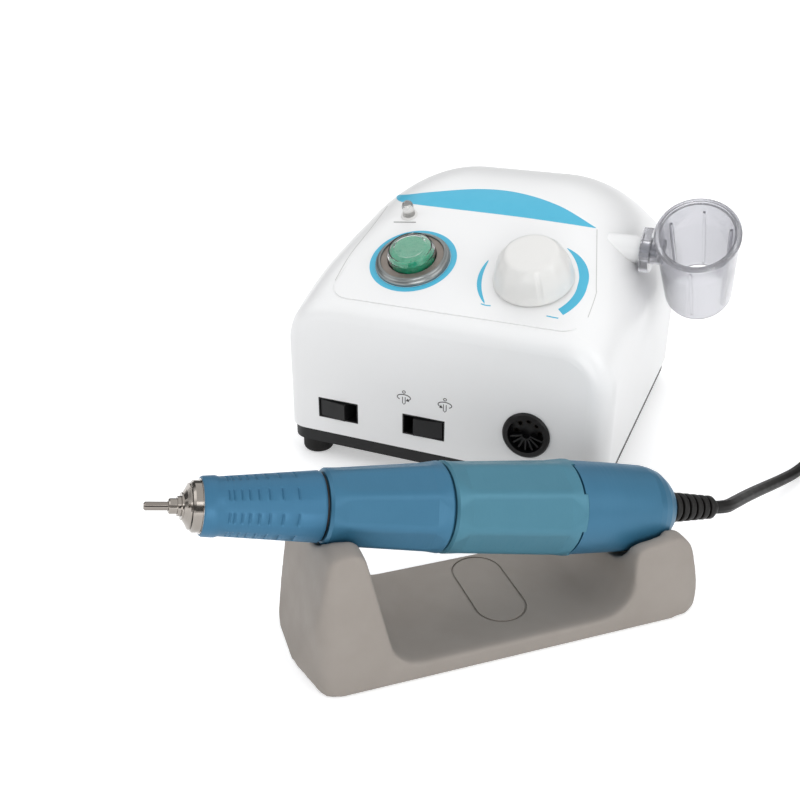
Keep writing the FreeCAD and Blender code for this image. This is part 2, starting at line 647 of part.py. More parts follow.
# Operating panel: push button, lamp and speed knob
def build_button():
    place = on_panel(num.button_x, num.button_rise, -num.switch_depth)
    deck = bound.switch_depth
    sleeve = bound.bezel_bore + bound.bezel_sleeve
    keep(turned("power_bezel", [
        (bound.bezel_bore, deck - bound.bezel_depth), (sleeve, deck - bound.bezel_depth),
        (sleeve, deck + bound.seat), (bound.bezel_radius, deck + bound.seat),
        (bound.bezel_radius, deck + 0.5), (bound.bezel_radius - 1.3, deck + bound.bezel_height),
        (bound.bezel_bore + 0.5, deck + bound.bezel_height),
        (bound.bezel_bore, deck + bound.bezel_height - 0.4)]), "power_bezel", place)
    well = bound.cover_radius + bound.body_gap
    outer = bound.bezel_bore - bound.running_fit
    floor = deck - bound.cap_foot - bound.button_travel - bound.switch_clear
    keep(turned("power_switch_body", [
        (0, 0), (outer, 0), (outer, deck + bound.switch_face),
        (well, deck + bound.switch_face), (well, floor), (0, floor)]),
        "power_switch_body", place)
    cap = bound.cover_radius - bound.cover_wall - bound.running_fit
    keep(turned("power_button", [
        (0, deck - bound.cap_foot), (bound.cap_stem, deck - bound.cap_foot),
        (bound.cap_stem, deck - bound.cap_foot / 2), (cap, deck - bound.cap_foot / 2),
        (cap, deck + bound.cap_top - 1.6), (cap - 0.5, deck + bound.cap_top - 0.5),
        (cap - 1.6, deck + bound.cap_top), (0, deck + bound.cap_top)]),
        "power_button", place)
    top = deck + bound.cover_top
    wall = bound.cover_wall
    rounding = bound.cover_round
    keep(turned("button_cover", [
        (bound.cover_radius - wall, deck - bound.cap_foot / 2),
        (bound.cover_radius, deck - bound.cap_foot / 2),
        (bound.cover_radius, top - rounding), (bound.cover_radius - rounding * 0.29, top
                                               - rounding * 0.29),
        (bound.cover_radius - rounding, top), (0, top), (0, top - wall),
        (bound.cover_radius - rounding - wall * 0.4, top - wall),
        (bound.cover_radius - rounding * 0.29 - wall * 0.8, top - rounding * 0.29 - wall * 0.7),
        (bound.cover_radius - wall, top - rounding - wall * 0.4)]), "button_cover", place)


def build_lamp():
    place = on_panel(num.led_x, num.led_rise, -num.led_depth)
    deck = bound.led_depth
    tube = bound.led_radius + bound.led_holder_rim
    keep(turned("led_holder", [
        (bound.led_radius + bound.seat, 0), (tube, 0), (tube, deck + bound.seat),
        (bound.led_holder_radius + 0.3, deck + bound.seat),
        (bound.led_holder_radius, deck + bound.led_holder_rim),
        (bound.led_radius + bound.seat, deck + bound.led_holder_rim)]), "led_holder", place)
    top = deck + bound.led_top
    size = bound.led_radius
    keep(turned("status_led", [
        (0, 0.5), (size, 0.5), (size, top - size), (size * 0.94, top - size * 0.66),
        (size * 0.77, top - size * 0.36), (size * 0.5, top - size * 0.13), (0, top)]),
        "status_led", place)


def build_knob():
    place = on_panel(num.knob_x, num.knob_rise, -num.pot_height - num.case_wall)
    deck = bound.pot_height + bound.case_wall
    pot = bound.pot_height - bound.seat
    bore = bound.shaft_radius + bound.running_fit
    keep(turned("potentiometer", [
        (0, 0), (bound.pot_radius, 0), (bound.pot_radius, pot), (bound.bush_radius, pot),
        (bound.bush_radius, deck + bound.bush_height), (bore, deck + bound.bush_height),
        (bore, pot - 3.0), (0, pot - 3.0)]), "potentiometer", place)
    keep(ring("potentiometer_nut", bound.bush_radius + bound.thread_fit, bound.nut_radius,
              deck + bound.seat, deck + bound.nut_height), "potentiometer_nut", place)
    foot = deck + bound.knob_lift
    top = foot + bound.knob_height
    shaft_top = pot - 3.0 + bound.shaft_length
    shaft = rod(bound.shaft_radius, bound.shaft_length - bound.running_fit, 0, 0,
                pot - 3.0 + bound.running_fit)
    flat = block(bound.shaft_radius * 3, bound.shaft_radius, bound.knob_hub * 2, 0,
                 bound.shaft_radius * 1.5 - bound.shaft_flat, shaft_top - bound.knob_hub * 2)
    keep(cut(shaft, [flat]), "potentiometer_shaft", place)
    hollow = foot + bound.knob_hollow
    inner = bound.knob_shoulder - bound.knob_wall
    shoulder = top - bound.knob_shoulder_drop
    knob = turned("speed_knob_form", [
        (bound.knob_hub, foot + bound.bush_height), (bound.knob_hub, hollow),
        (inner, hollow), (inner, foot),
        (bound.knob_base, foot), (bound.knob_base - 0.2, foot + 1.2),
        (bound.knob_waist, foot + bound.knob_height * 0.36), (bound.knob_shoulder, shoulder),
        (bound.knob_top + bound.knob_brow, top - bound.knob_shoulder_drop * 0.4),
        (bound.knob_top, top), (0, top), (0, shaft_top + bound.fit),
        (bound.shaft_radius + bound.thread_fit, shaft_top + bound.fit),
        (bound.shaft_radius + bound.thread_fit, foot + bound.bush_height)])
    flutes = []
    low = vec(num.knob_base + num.flute_radius - num.flute_depth, 0, number(foot))
    high = vec(num.knob_shoulder + num.flute_radius - num.flute_depth, 0, number(shoulder))
    along = (high - low).normalize()
    low += along * num.flute_foot
    for step in range(int(num.flute_count)):
        flute = Part.makeCylinder(num.flute_radius, num.knob_height, low, along)
        flute.rotate(vec(), vec(0, 0, 1), 360.0 / num.flute_count * step)
        flutes.append(solid(flute, "finger_flute"))
    keep(cut(knob, flutes), "speed_knob", place)


# Front wall: two rocker switches and the round handpiece socket
ROCKERS = [("hand_foot_rocker", bound.hand_slot_x, 1), ("direction_rocker", bound.turn_slot_x, -1)]
PIVOT_Y = bound.rocker_pivot - bound.case_depth / 2


def build_rockers():
    housings = []
    pins = []
    inner_width = bound.slot_width - bound.fit * 2 - bound.collar_wall * 2
    inner_height = bound.slot_height - bound.fit * 2 - bound.collar_wall * 2
    foot = bound.slot_middle - inner_height / 2
    for label, x, side in ROCKERS:
        back = bound.case_wall + bound.seat - bound.case_depth / 2
        body = block(bound.slot_width + bound.housing_wall * 2, bound.housing_depth,
                     bound.slot_height + bound.housing_wall * 2, x,
                     back + bound.housing_depth / 2,
                     bound.slot_middle - bound.slot_height / 2 - bound.housing_wall)
        collar = block(bound.slot_width - bound.fit * 2, bound.case_wall * 2,
                       bound.slot_height - bound.fit * 2, x,
                       bound.case_wall - bound.case_depth / 2,
                       bound.slot_middle - bound.slot_height / 2 + bound.fit)
        depth = bound.housing_depth + bound.case_wall - bound.housing_wall
        well = block(inner_width, depth * 2, inner_height, x, -bound.case_depth / 2, foot)
        hole = rod(bound.pin_radius + bound.fit * 0.2, bound.slot_height + bound.housing_wall,
                   x, PIVOT_Y, bound.slot_middle - bound.slot_height / 2
                   - bound.housing_wall / 2)
        housings.append(cut(fuse([body, collar]), [well, hole]))
        pins.append(rod(bound.pin_radius, bound.slot_height + bound.housing_wall
                        - bound.seat * 2, x, PIVOT_Y, bound.slot_middle
                        - bound.slot_height / 2 - bound.housing_wall / 2 + bound.seat))
        height = inner_height - bound.body_gap * 2
        low = -height / 2
        paddle = block(bound.rocker_width, bound.rocker_reach, height, 0,
                       -bound.rocker_reach / 2, low)
        hub = rod(bound.rocker_hub, height, 0, 0, low)
        bore = rod(bound.pin_radius + bound.running_fit, height * 2, 0, 0, low * 2)
        room = bound.rocker_width
        behind = block(room, bound.rocker_hub * 2, height, 0, bound.rocker_hub, low)
        notch = cut(behind, [rod(bound.rocker_hub, height, 0, 0, low)])
        rocker = cut(fuse([paddle, hub]), [notch, bore])
        place = FreeCAD.Placement(
            vec(number(x), number(PIVOT_Y), num.slot_middle),
            FreeCAD.Rotation(vec(0, 0, 1), -side * num.rocker_tilt))
        keep(rocker, label, place)
    keep(group(housings), "switch_housings")
    keep(group(pins), "rocker_pins")


def build_socket():
    place = FreeCAD.Placement(vec(num.socket_x, front_y, num.socket_z), ALONG_Y)
    depth = bound.socket_depth
    face = 1.2
    lift = bound.seat
    neck = bound.socket_radius - bound.socket_rim
    shell = turned("socket_bezel", [
        (bound.insulator_radius + bound.fit, 0), (bound.socket_radius - 0.6, 0),
        (bound.socket_radius, 0.6), (bound.socket_radius, face - lift),
        (neck, face - lift), (neck, face + depth),
        (bound.insulator_radius + bound.fit, face + depth)])
    keep(shell, "socket_bezel", place.multiply(FreeCAD.Placement(vec(0, 0, -face), FreeCAD.Rotation())))
    spots = []
    for step in range(int(num.contact_count)):
        angle = math.radians((step - (num.contact_count - 1) / 2) * num.contact_step - 90)
        spots.append((num.contact_circle * math.cos(angle), num.contact_circle * math.sin(angle)))
    disc = rod(bound.insulator_radius, bound.socket_depth - bound.socket_sink, 0, 0,
               bound.socket_sink)
    outer = bound.contact_bore + bound.contact_wall
    wells = [rod(outer + bound.fit * 0.2, bound.socket_depth, x, y, bound.socket_sink - 1.0)
             for x, y in spots]
    keep(cut(disc, wells), "socket_insulator", place)
    contacts = [cut(rod(outer, bound.socket_depth - bound.socket_sink, x, y,
                        bound.socket_sink),
                    [rod(bound.contact_bore, bound.socket_depth * 0.6, x, y,
                         bound.socket_sink - 1.0)]) for x, y in spots]
    keep(group(contacts), "socket_contacts", place)


# Inside the unit: circuit board and transformer on the tray
def build_board():
    floor = bound.tray_bottom + bound.tray_floor + bound.standoff_height
    plate = block(bound.board_length, bound.board_width, bound.board_thick, bound.board_x,
                  bound.board_y, floor)
    holes = [rod(bound.board_screw_radius + bound.fit, bound.board_thick * 3, x, y,
                 floor - bound.board_thick) for x, y in board_corners()]
    keep(cut(plate, holes), "circuit_board")
    top = floor + bound.board_thick
    screws = []
    for x, y in board_corners():
        shank = rod(bound.board_screw_radius, bound.board_thick + bound.standoff_height * 0.7,
                    x, y, top - bound.board_thick - bound.standoff_height * 0.7)
        head = rod(bound.board_screw_radius * 2, bound.board_screw_radius, x, y, top)
        screws.append(fuse([shank, head]))
    keep(group(screws), "board_screws")
    left = bound.board_x - bound.board_length / 4
    right = bound.board_x + bound.board_length / 4
    parts = [
        rod(bound.capacitor_radius, bound.capacitor_height, left, bound.board_y, top),
        block(bound.sink_length, bound.chip_height, bound.sink_height, right,
              bound.board_y + bound.board_width / 4, top),
        block(bound.chip_height * 2, bound.chip_height, bound.chip_height / 2, bound.board_x,
              bound.board_y - bound.board_width / 4, top),
        block(bound.chip_height, bound.chip_height * 3, bound.chip_height * 1.5, right,
              bound.board_y - bound.board_width / 8, top),
    ]
    keep(group(parts), "board_components")


def build_transformer():
    foot = bound.tray_bottom + bound.tray_floor + bound.core_pad
    leg = bound.core_leg
    stack = block(bound.core_length, bound.core_thick, bound.core_height, bound.core_x,
                  bound.core_y, foot)
    ears = block(bound.core_length + leg * 2, bound.core_thick * 0.6, leg * 0.2, bound.core_x,
                 bound.core_y, foot)
    window = (bound.core_length - leg * 4) / 2
    window_height = bound.core_height - leg * 2
    offset = leg + window / 2
    windows = [block(window, bound.core_thick * 2, window_height, bound.core_x + offset * side,
                     bound.core_y, foot + leg) for side in (-1, 1)]
    holes = [rod(bound.core_screw_radius + bound.fit, leg, x, bound.core_y, foot - leg / 2)
             for x in core_screws()]
    keep(cut(fuse([stack, ears]), windows + holes), "transformer_core")
    gap = bound.winding_gap
    outer_width = leg * 2 + window * 2 - gap * 2
    outer = block(outer_width, bound.core_thick + bound.winding_reach * 2,
                  window_height - gap * 2, bound.core_x, bound.core_y, foot + leg + gap)
    inner = block(leg * 2 + gap * 2, bound.core_thick + gap * 2, window_height * 2,
                  bound.core_x, bound.core_y, foot)
    keep(cut(outer, [inner]), "transformer_winding")
    screws = []
    for x in core_screws():
        shank = rod(bound.core_screw_radius, leg * 0.2 + bound.core_pad * 0.8, x, bound.core_y,
                    foot - bound.core_pad * 0.8)
        head = rod(bound.core_screw_radius * 2, bound.core_screw_radius, x, bound.core_y,
                   foot + leg * 0.2)
        screws.append(fuse([shank, head]))
    keep(group(screws), "transformer_screws")


# Rear wall: mains inlet, fuse and foot control jack
def build_rear():
    wall = bound.case_depth / 2
    rim = bound.inlet_rim
    flange = block(bound.inlet_width + rim * 2, bound.inlet_flange,
                   bound.inlet_height + rim * 2, bound.inlet_x,
                   wall + bound.seat + bound.inlet_flange / 2,
                   bound.inlet_z - bound.inlet_height / 2 - rim)
    body = block(bound.inlet_width, bound.inlet_depth, bound.inlet_height, bound.inlet_x,
                 wall + bound.inlet_flange - bound.inlet_depth / 2,
                 bound.inlet_z - bound.inlet_height / 2)
    skin = bound.housing_wall * 2
    well = block(bound.inlet_width - skin, bound.inlet_well * 2, bound.inlet_height - skin,
                 bound.inlet_x, wall + bound.inlet_flange,
                 bound.inlet_z - bound.inlet_height / 2 + bound.housing_wall)
    spots = [(-1, -1), (1, -1), (0, 1)]
    blade_length = bound.inlet_depth - bound.inlet_flange
    slots = []
    blades = []
    for side, height in spots:
        x = bound.inlet_x + bound.blade_spread * side
        z = bound.inlet_z + bound.blade_width * 0.75 * height - bound.blade_width / 2
        blades.append(block(bound.blade_thick, blade_length, bound.blade_width, x,
                            wall + bound.inlet_flange * 0.5 - blade_length / 2
                            - bound.inlet_flange, z))
        slots.append(block(bound.blade_thick + bound.fit * 0.4, bound.inlet_depth * 2,
                           bound.blade_width + bound.fit * 0.4, x, wall, z - bound.fit * 0.2))
    keep(cut(fuse([flange, body]), [well] + slots), "mains_inlet")
    keep(group(blades), "inlet_pins")
    inner_face = wall - bound.fuse_depth
    tube = cut(rod(bound.fuse_radius, bound.fuse_depth, bound.fuse_x, inner_face,
                   bound.fuse_z, ALONG_Y),
               [rod(bound.fuse_bore, bound.fuse_depth, bound.fuse_x,
                    inner_face + bound.housing_wall, bound.fuse_z, ALONG_Y)])
    keep(tube, "fuse_holder")
    knob = rod(bound.fuse_cap_radius, bound.fuse_cap_height, bound.fuse_x, wall + bound.seat,
               bound.fuse_z, ALONG_Y)
    core = rod(bound.fuse_bore - bound.fit, bound.fuse_depth * 0.8, bound.fuse_x,
               wall + bound.seat - bound.fuse_depth * 0.8, bound.fuse_z, ALONG_Y)
    slot = block(bound.fuse_radius, bound.fuse_cap_height, 1.2, bound.fuse_x,
                 wall + bound.fuse_cap_height * 1.3, bound.fuse_z - 0.6)
    keep(cut(fuse([knob, core]), [slot]), "fuse_cap")
    jack = rod(bound.jack_radius, bound.jack_depth, bound.jack_x,
               wall + bound.jack_nut_height - bound.jack_depth, bound.jack_z, ALONG_Y)
    nut = rod(bound.jack_nut, bound.jack_nut_height, bound.jack_x, wall + bound.seat,
              bound.jack_z, ALONG_Y)
    bore = rod(bound.jack_bore, bound.jack_depth, bound.jack_x,
               wall + bound.jack_nut_height - bound.jack_depth * 0.85, bound.jack_z, ALONG_Y)
    keep(cut(fuse([jack, nut]), [bore]), "foot_jack")


# Tool cup on its pin at the unit's right shoulder
def build_cup():
    stem = rod(bound.clip_stem, bound.clip_face - bound.clip_root, bound.clip_root,
               bound.clip_y, bound.clip_z, ALONG_X)
    disc = rod(bound.clip_radius, bound.clip_disc, bound.clip_face - bound.clip_disc,
               bound.clip_y, bound.clip_z, ALONG_X)
    pin_hole = rod(bound.clip_bore, bound.pin_length, bound.clip_face - bound.pin_length + 3.0,
                   bound.clip_y, bound.clip_z, ALONG_X)
    keep(cut(fuse([stem, disc]), [pin_hole]), "holder_clip")
    foot = bound.cup_length - bound.cup_rim_height
    middle = number(foot)
    top = bound.cup_length
    wall = bound.cup_wall
    rim = bound.cup_rim_thick
    waist = top - bound.cup_waist
    shell = turned("cup_shell", [
        (bound.cup_foot_radius - 0.8, 0), (bound.cup_foot_radius - 0.2, 0.2),
        (bound.cup_foot_radius, 0.9), (bound.cup_waist_radius, waist),
        (bound.cup_rim_radius - 0.5, top - rim), (bound.cup_rim_radius, top - rim * 0.7),
        (bound.cup_rim_radius, top - 0.6), (bound.cup_rim_radius - 0.7, top),
        (bound.cup_rim_radius - rim + 0.7, top), (bound.cup_rim_radius - rim, top - 0.7),
        (bound.cup_waist_radius - wall, waist), (bound.cup_foot_radius - wall, 0.3)])
    ribs = []
    for step in range(int(num.cup_rib_count)):
        angle = 360.0 / num.cup_rib_count * (step + 0.5)
        rib = Part.makeBox(num.cup_rib * 2.5, num.cup_rib, num.cup_length * 0.8,
                           vec(num.cup_foot_radius - num.cup_wall - num.cup_rib * 1.4,
                               -num.cup_rib / 2, num.cup_length * 0.08))
        lean = math.degrees(math.atan2(num.cup_waist_radius - num.cup_foot_radius,
                                       num.cup_length - num.cup_waist))
        rib.rotate(vec(num.cup_foot_radius, 0, 0), vec(0, 1, 0), lean)
        rib.rotate(vec(), vec(0, 0, 1), angle)
        ribs.append(rib)
    ribs = ribs[0].fuse(ribs[1:])
    arm_start = -(num.cup_x - num.clip_face - num.body_gap)
    arm = Part.makeCylinder(num.arm_radius, -arm_start - num.cup_waist_radius + num.cup_wall,
                            vec(arm_start, 0, middle), vec(1, 0, 0))
    bore = Part.makeCylinder(num.clip_bore, num.cup_wall * 1.6,
                             vec(arm_start - num.fit, 0, middle), vec(1, 0, 0))
    fused = fuse([shell, solid(ribs, "cup_ribs"), solid(arm, "cup_arm")])
    place = cup_place.multiply(FreeCAD.Placement(vec(0, 0, -middle), FreeCAD.Rotation()))
    keep(cut(fused, [solid(bore, "cup_bore")]), "holder_cup", place)
    pin = rod(bound.clip_bore - bound.running_fit, bound.pin_length - 3.0 - bound.seat * 2
              + bound.body_gap + bound.cup_wall, bound.clip_face - bound.pin_length + 3.0
              + bound.seat, bound.clip_y, bound.clip_z, ALONG_X)
    keep(pin, "holder_pin")


# Handpiece, front to rear
def build_nose():
    place = piece_place
    keep(turned("bur", [
        (0, 0), (bound.bur_radius - bound.bur_point, 0), (bound.bur_radius, bound.bur_point),
        (bound.bur_radius, bound.bur_length), (0, bound.bur_length)]), "bur", place)
    bore = bound.bur_radius + bound.running_fit * 0.4
    body = turned("collet_form", [
        (bore, bound.collet_start + 0.3), (bore + 0.3, bound.collet_start),
        (bound.collet_radius - 0.3, bound.collet_start),
        (bound.collet_radius, bound.collet_start + 0.3),
        (bound.collet_radius, bound.collet_step), (bound.collet_collar, bound.collet_step),
        (bound.collet_collar, bound.cone_start + 1.0),
        (bound.collet_radius, bound.cone_start + 2.0),
        (bound.collet_radius, bound.collet_end), (bore, bound.collet_end)])
    slits = []
    for step in range(3):
        slit = Part.makeBox(num.collet_collar * 2, num.collet_slit,
                            (num.collet_end - num.collet_start) * 0.6,
                            vec(0, -num.collet_slit / 2, num.collet_start - 1))
        slit.rotate(vec(), vec(0, 0, 1), 120.0 * step + 30)
        slits.append(solid(slit, "collet_slit"))
    keep(cut(body, slits), "collet", place)
    gap = bound.running_fit
    keep(turned("chuck_cone", [
        (bound.collet_collar + gap, bound.cone_start),
        (bound.cone_front, bound.cone_start), (bound.cone_front, bound.cone_start + 0.4),
        (bound.cone_front + 1.3, bound.cone_start + 1.2), (bound.cone_radius, bound.cone_end
                                                          - 0.3),
        (bound.cone_radius, bound.cone_end), (bound.collet_radius + gap, bound.cone_end),
        (bound.collet_radius + gap, bound.cone_start + 2.05),
        (bound.collet_collar + gap, bound.cone_start + 1.05)]), "chuck_cone", place)
    rear = bound.collet_end + 5.0
    keep(turned("spindle", [
        (bound.collet_radius + gap, bound.cone_end + bound.seat),
        (bound.spindle_radius, bound.cone_end + bound.seat),
        (bound.spindle_radius, bound.spindle_end), (0, bound.spindle_end), (0, rear),
        (bound.collet_radius + gap, rear)]), "spindle", place)
    keep(turned("nose_ring", [
        (bound.nose_bore, bound.nose_start), (bound.nose_radius - 0.6, bound.nose_start),
        (bound.nose_radius, bound.nose_start + 0.6), (bound.nose_radius, bound.nose_end),
        (bound.nose_bore, bound.nose_end)]), "nose_ring", place)


def build_front():
    place = piece_place
    inner = bound.spindle_radius + bound.running_fit
    rings = [ring("bearing_%d" % step, inner, bound.bearing_radius, start,
                  start + bound.bearing_width)
             for step, start in enumerate((bound.bearing_front, bound.bearing_back), start=1)]
    keep(group(rings), "front_bearings", place)
    bore = bound.bearing_radius + bound.seat
    throat = bound.nose_bore + 0.6
    neck = bound.housing_neck - bound.fit
    keep(turned("barrel", [
        (throat, bound.nose_end + bound.seat), (bound.barrel_radius, bound.nose_end
                                                + bound.seat),
        (bound.barrel_radius, bound.housing_start - bound.seat * 2),
        (neck, bound.housing_start - bound.seat * 2), (neck, bound.barrel_end + 3.0),
        (bore - 1.2, bound.barrel_end + 3.0), (bore - 1.2, bound.bearing_back
                                               + bound.bearing_width + bound.seat),
        (bore, bound.bearing_back + bound.bearing_width + bound.seat),
        (bore, bound.bearing_front - bound.seat), (throat, bound.bearing_front - bound.seat)]),
        "barrel", place)
    seat = bound.barrel_radius + bound.seat
    outline = [(seat, bound.sleeve_start), (bound.sleeve_lip - 0.3, bound.sleeve_start),
               (bound.sleeve_lip, bound.sleeve_start + 0.4),
               (bound.sleeve_collar, bound.sleeve_start + 3.0),
               (bound.sleeve_collar, bound.sleeve_start + 3.7),
               (bound.sleeve_neck, bound.sleeve_start + 4.7)]
    span = bound.sleeve_end - bound.ridge_first
    for step in range(int(num.ridge_count)):
        start = bound.ridge_first + bound.ridge_pitch * step
        part = (start - bound.ridge_first) / span
        lean = bound.sleeve_neck + (bound.sleeve_rear - bound.sleeve_neck) * part
        outline += [(lean, start), (lean + bound.ridge_height, start + 0.3),
                    (lean + bound.ridge_height * 1.8, start + bound.ridge_pitch - 0.5),
                    (lean + bound.ridge_height, start + bound.ridge_pitch - 0.2)]
    outline += [(bound.sleeve_rear, bound.sleeve_end - 0.5),
                (bound.sleeve_rear - 0.3, bound.sleeve_end), (seat, bound.sleeve_end)]
    keep(turned("front_sleeve", outline), "front_sleeve", place)
    keep(ring("sleeve_seal", seat, bound.seal_radius, bound.sleeve_end + bound.seat,
              bound.sleeve_end + bound.seal_width), "sleeve_seal", place)


def facet_wire(radius, height, corner):
    """A regular outline with rounded corners that reach out to the given radius."""
    count = int(num.facet_count)
    half = math.pi / count
    centre = radius - corner
    edges = []
    points = []
    for step in range(count):
        angle = 2 * half * step
        middle = vec(math.cos(angle), math.sin(angle), 0) * centre
        ends = [middle + vec(math.cos(angle + turn_by), math.sin(angle + turn_by), 0) * corner
                for turn_by in (-half, 0, half)]
        points.append([end + vec(0, 0, height) for end in ends])
    for step in range(count):
        first, second = points[step], points[(step + 1) % count]
        edges.append(Part.Arc(first[0], first[1], first[2]).toShape())
        edges.append(SEGMENT(first[2], second[0]).toShape())
    return Part.Wire(edges)


def faceted(sections):
    """A ruled loft through (radius, distance, faceted) outlines, the others being round."""
    wires = [facet_wire(radius, height, num.twist_corner if flats else radius - num.rim_flat)
             for radius, height, flats in sections]
    return Part.makeLoft(wires, True, True)


def teeth(start, depth, inner, outer, first, clearance):
    """Four wedges round the axis, each an eighth of a turn, drawn in by a clearance."""
    pieces = []
    width = 45.0
    for step in range(4):
        wedge = Part.makeCylinder(outer, depth, vec(0, 0, start), vec(0, 0, 1), width
                                  - math.degrees(clearance / outer) * 2)
        wedge.rotate(vec(), vec(0, 0, 1), first + 90.0 * step
                     + math.degrees(clearance / outer))
        pieces.append(wedge)
    joined = pieces[0].fuse(pieces[1:])
    return joined.cut(Part.makeCylinder(inner, depth * 3, vec(0, 0, start - depth)))


def build_twist_ring():
    start, end = num.twist_start, num.twist_end
    edge = 0.8
    fade = num.facet_fade
    slope = (num.twist_rear - num.twist_front) / (end - start)
    form = faceted([
        (num.twist_front - edge, start, False), (num.twist_front, start + edge, False),
        (num.twist_front + slope * fade, start + fade, True),
        (num.twist_rear - slope * fade, end - fade, True),
        (num.twist_rear, end - edge, False), (num.twist_rear - edge, end, False)])
    bore = Part.makeCylinder(num.barrel_radius + num.running_fit, end - start + 2,
                             vec(0, 0, start - 1))
    keep(solid(form.cut(bore), "twist_form"), "twist_ring", piece_place)


def build_motor():
    place = piece_place
    start, end = num.housing_start, num.housing_end
    edge = 0.7
    fade = num.facet_fade
    slope = (num.housing_rear - num.housing_front) / (end - start)
    form = faceted([
        (num.housing_front - edge, start, False), (num.housing_front, start + edge, False),
        (num.housing_front + slope * fade, start + fade, True),
        (num.housing_rear - slope * fade, end - fade, True),
        (num.housing_rear, end - edge, False), (num.housing_rear, end, False)])
    bore = Part.makeCylinder(num.housing_bore, end - start, vec(0, 0, start + 3.4))
    neck = Part.makeCylinder(num.housing_neck, end - start, vec(0, 0, start - 1))
    notches = teeth(end - num.tooth_depth, num.tooth_depth * 2, num.housing_bore - 1.0,
                    num.housing_rear * 1.3, 0.0, -num.tooth_fit)
    keep(solid(form.cut(bore).cut(neck).cut(notches), "housing_form"), "motor_housing", place)
    magnets = []
    for turn_by in (0.0, 180.0):
        arc = Part.makeCylinder(num.magnet_outer, num.magnet_end - num.magnet_start,
                                vec(0, 0, num.magnet_start), vec(0, 0, 1), num.magnet_angle)
        arc = arc.cut(Part.makeCylinder(num.magnet_inner, num.magnet_end,
                                        vec(0, 0, num.magnet_start / 2)))
        arc.rotate(vec(), vec(0, 0, 1), turn_by)
        magnets.append(solid(arc, "magnet"))
    keep(group(magnets), "magnets", place)
    stack = rod(bound.armature_radius, bound.armature_end - bound.armature_start, 0, 0,
                bound.armature_start)
    slots = []
    for step in range(int(num.pole_count)):
        slot = Part.makeBox(num.pole_depth * 2, num.pole_slot,
                            (num.armature_end - num.armature_start) * 2,
                            vec(num.armature_radius - num.pole_depth, -num.pole_slot / 2,
                                num.armature_start - 5))
        slot.rotate(vec(), vec(0, 0, 1), 360.0 / num.pole_count * step)
        slots.append(solid(slot, "pole_slot"))
    shaft = rod(bound.motor_shaft, bound.shaft_end - bound.spindle_end - bound.seat, 0, 0,
                bound.spindle_end + bound.seat)
    keep(fuse([cut(stack, slots), shaft]), "armature", place)
    bore = bound.motor_shaft + bound.running_fit
    keep(ring("commutator", bore, bound.commutator_radius, bound.commutator_start,
              bound.commutator_end), "commutator", place)
    middle = (bound.commutator_start + bound.commutator_end) / 2
    size = bound.brush_size
    brushes = []
    holders = []
    case = bound.brush_case
    carrier = ring("brush_plate", bound.commutator_radius + bound.body_gap * 2,
                   bound.housing_bore - bound.fit, bound.commutator_end + 1.5,
                   bound.commutator_end + 3.0)
    reach = bound.commutator_radius + bound.body_gap
    for side in (-1, 1):
        centre = (reach + bound.brush_length / 2) * side
        brushes.append(block(bound.brush_length, size, size, centre, 0, middle - size / 2))
        shell_centre = (reach + 1.0 + bound.brush_length / 2) * side
        shell = block(bound.brush_length, size + case * 2, size + case + bound.commutator_end
                      + 1.6 - middle - size / 2, shell_centre, 0, middle - size / 2 - case)
        tunnel = block(bound.brush_length * 2, size + bound.fit * 2, size + bound.fit * 2,
                       centre, 0, middle - size / 2 - bound.fit)
        holders.append(cut(shell, [tunnel]))
    keep(group(brushes), "carbon_brushes", place)
    keep(fuse([carrier] + holders), "brush_holder", place)
    keep(ring("rear_bearing", bore, bound.bearing_radius, bound.bearing_rear,
              bound.bearing_rear + bound.rear_bearing_width), "rear_bearing", place)


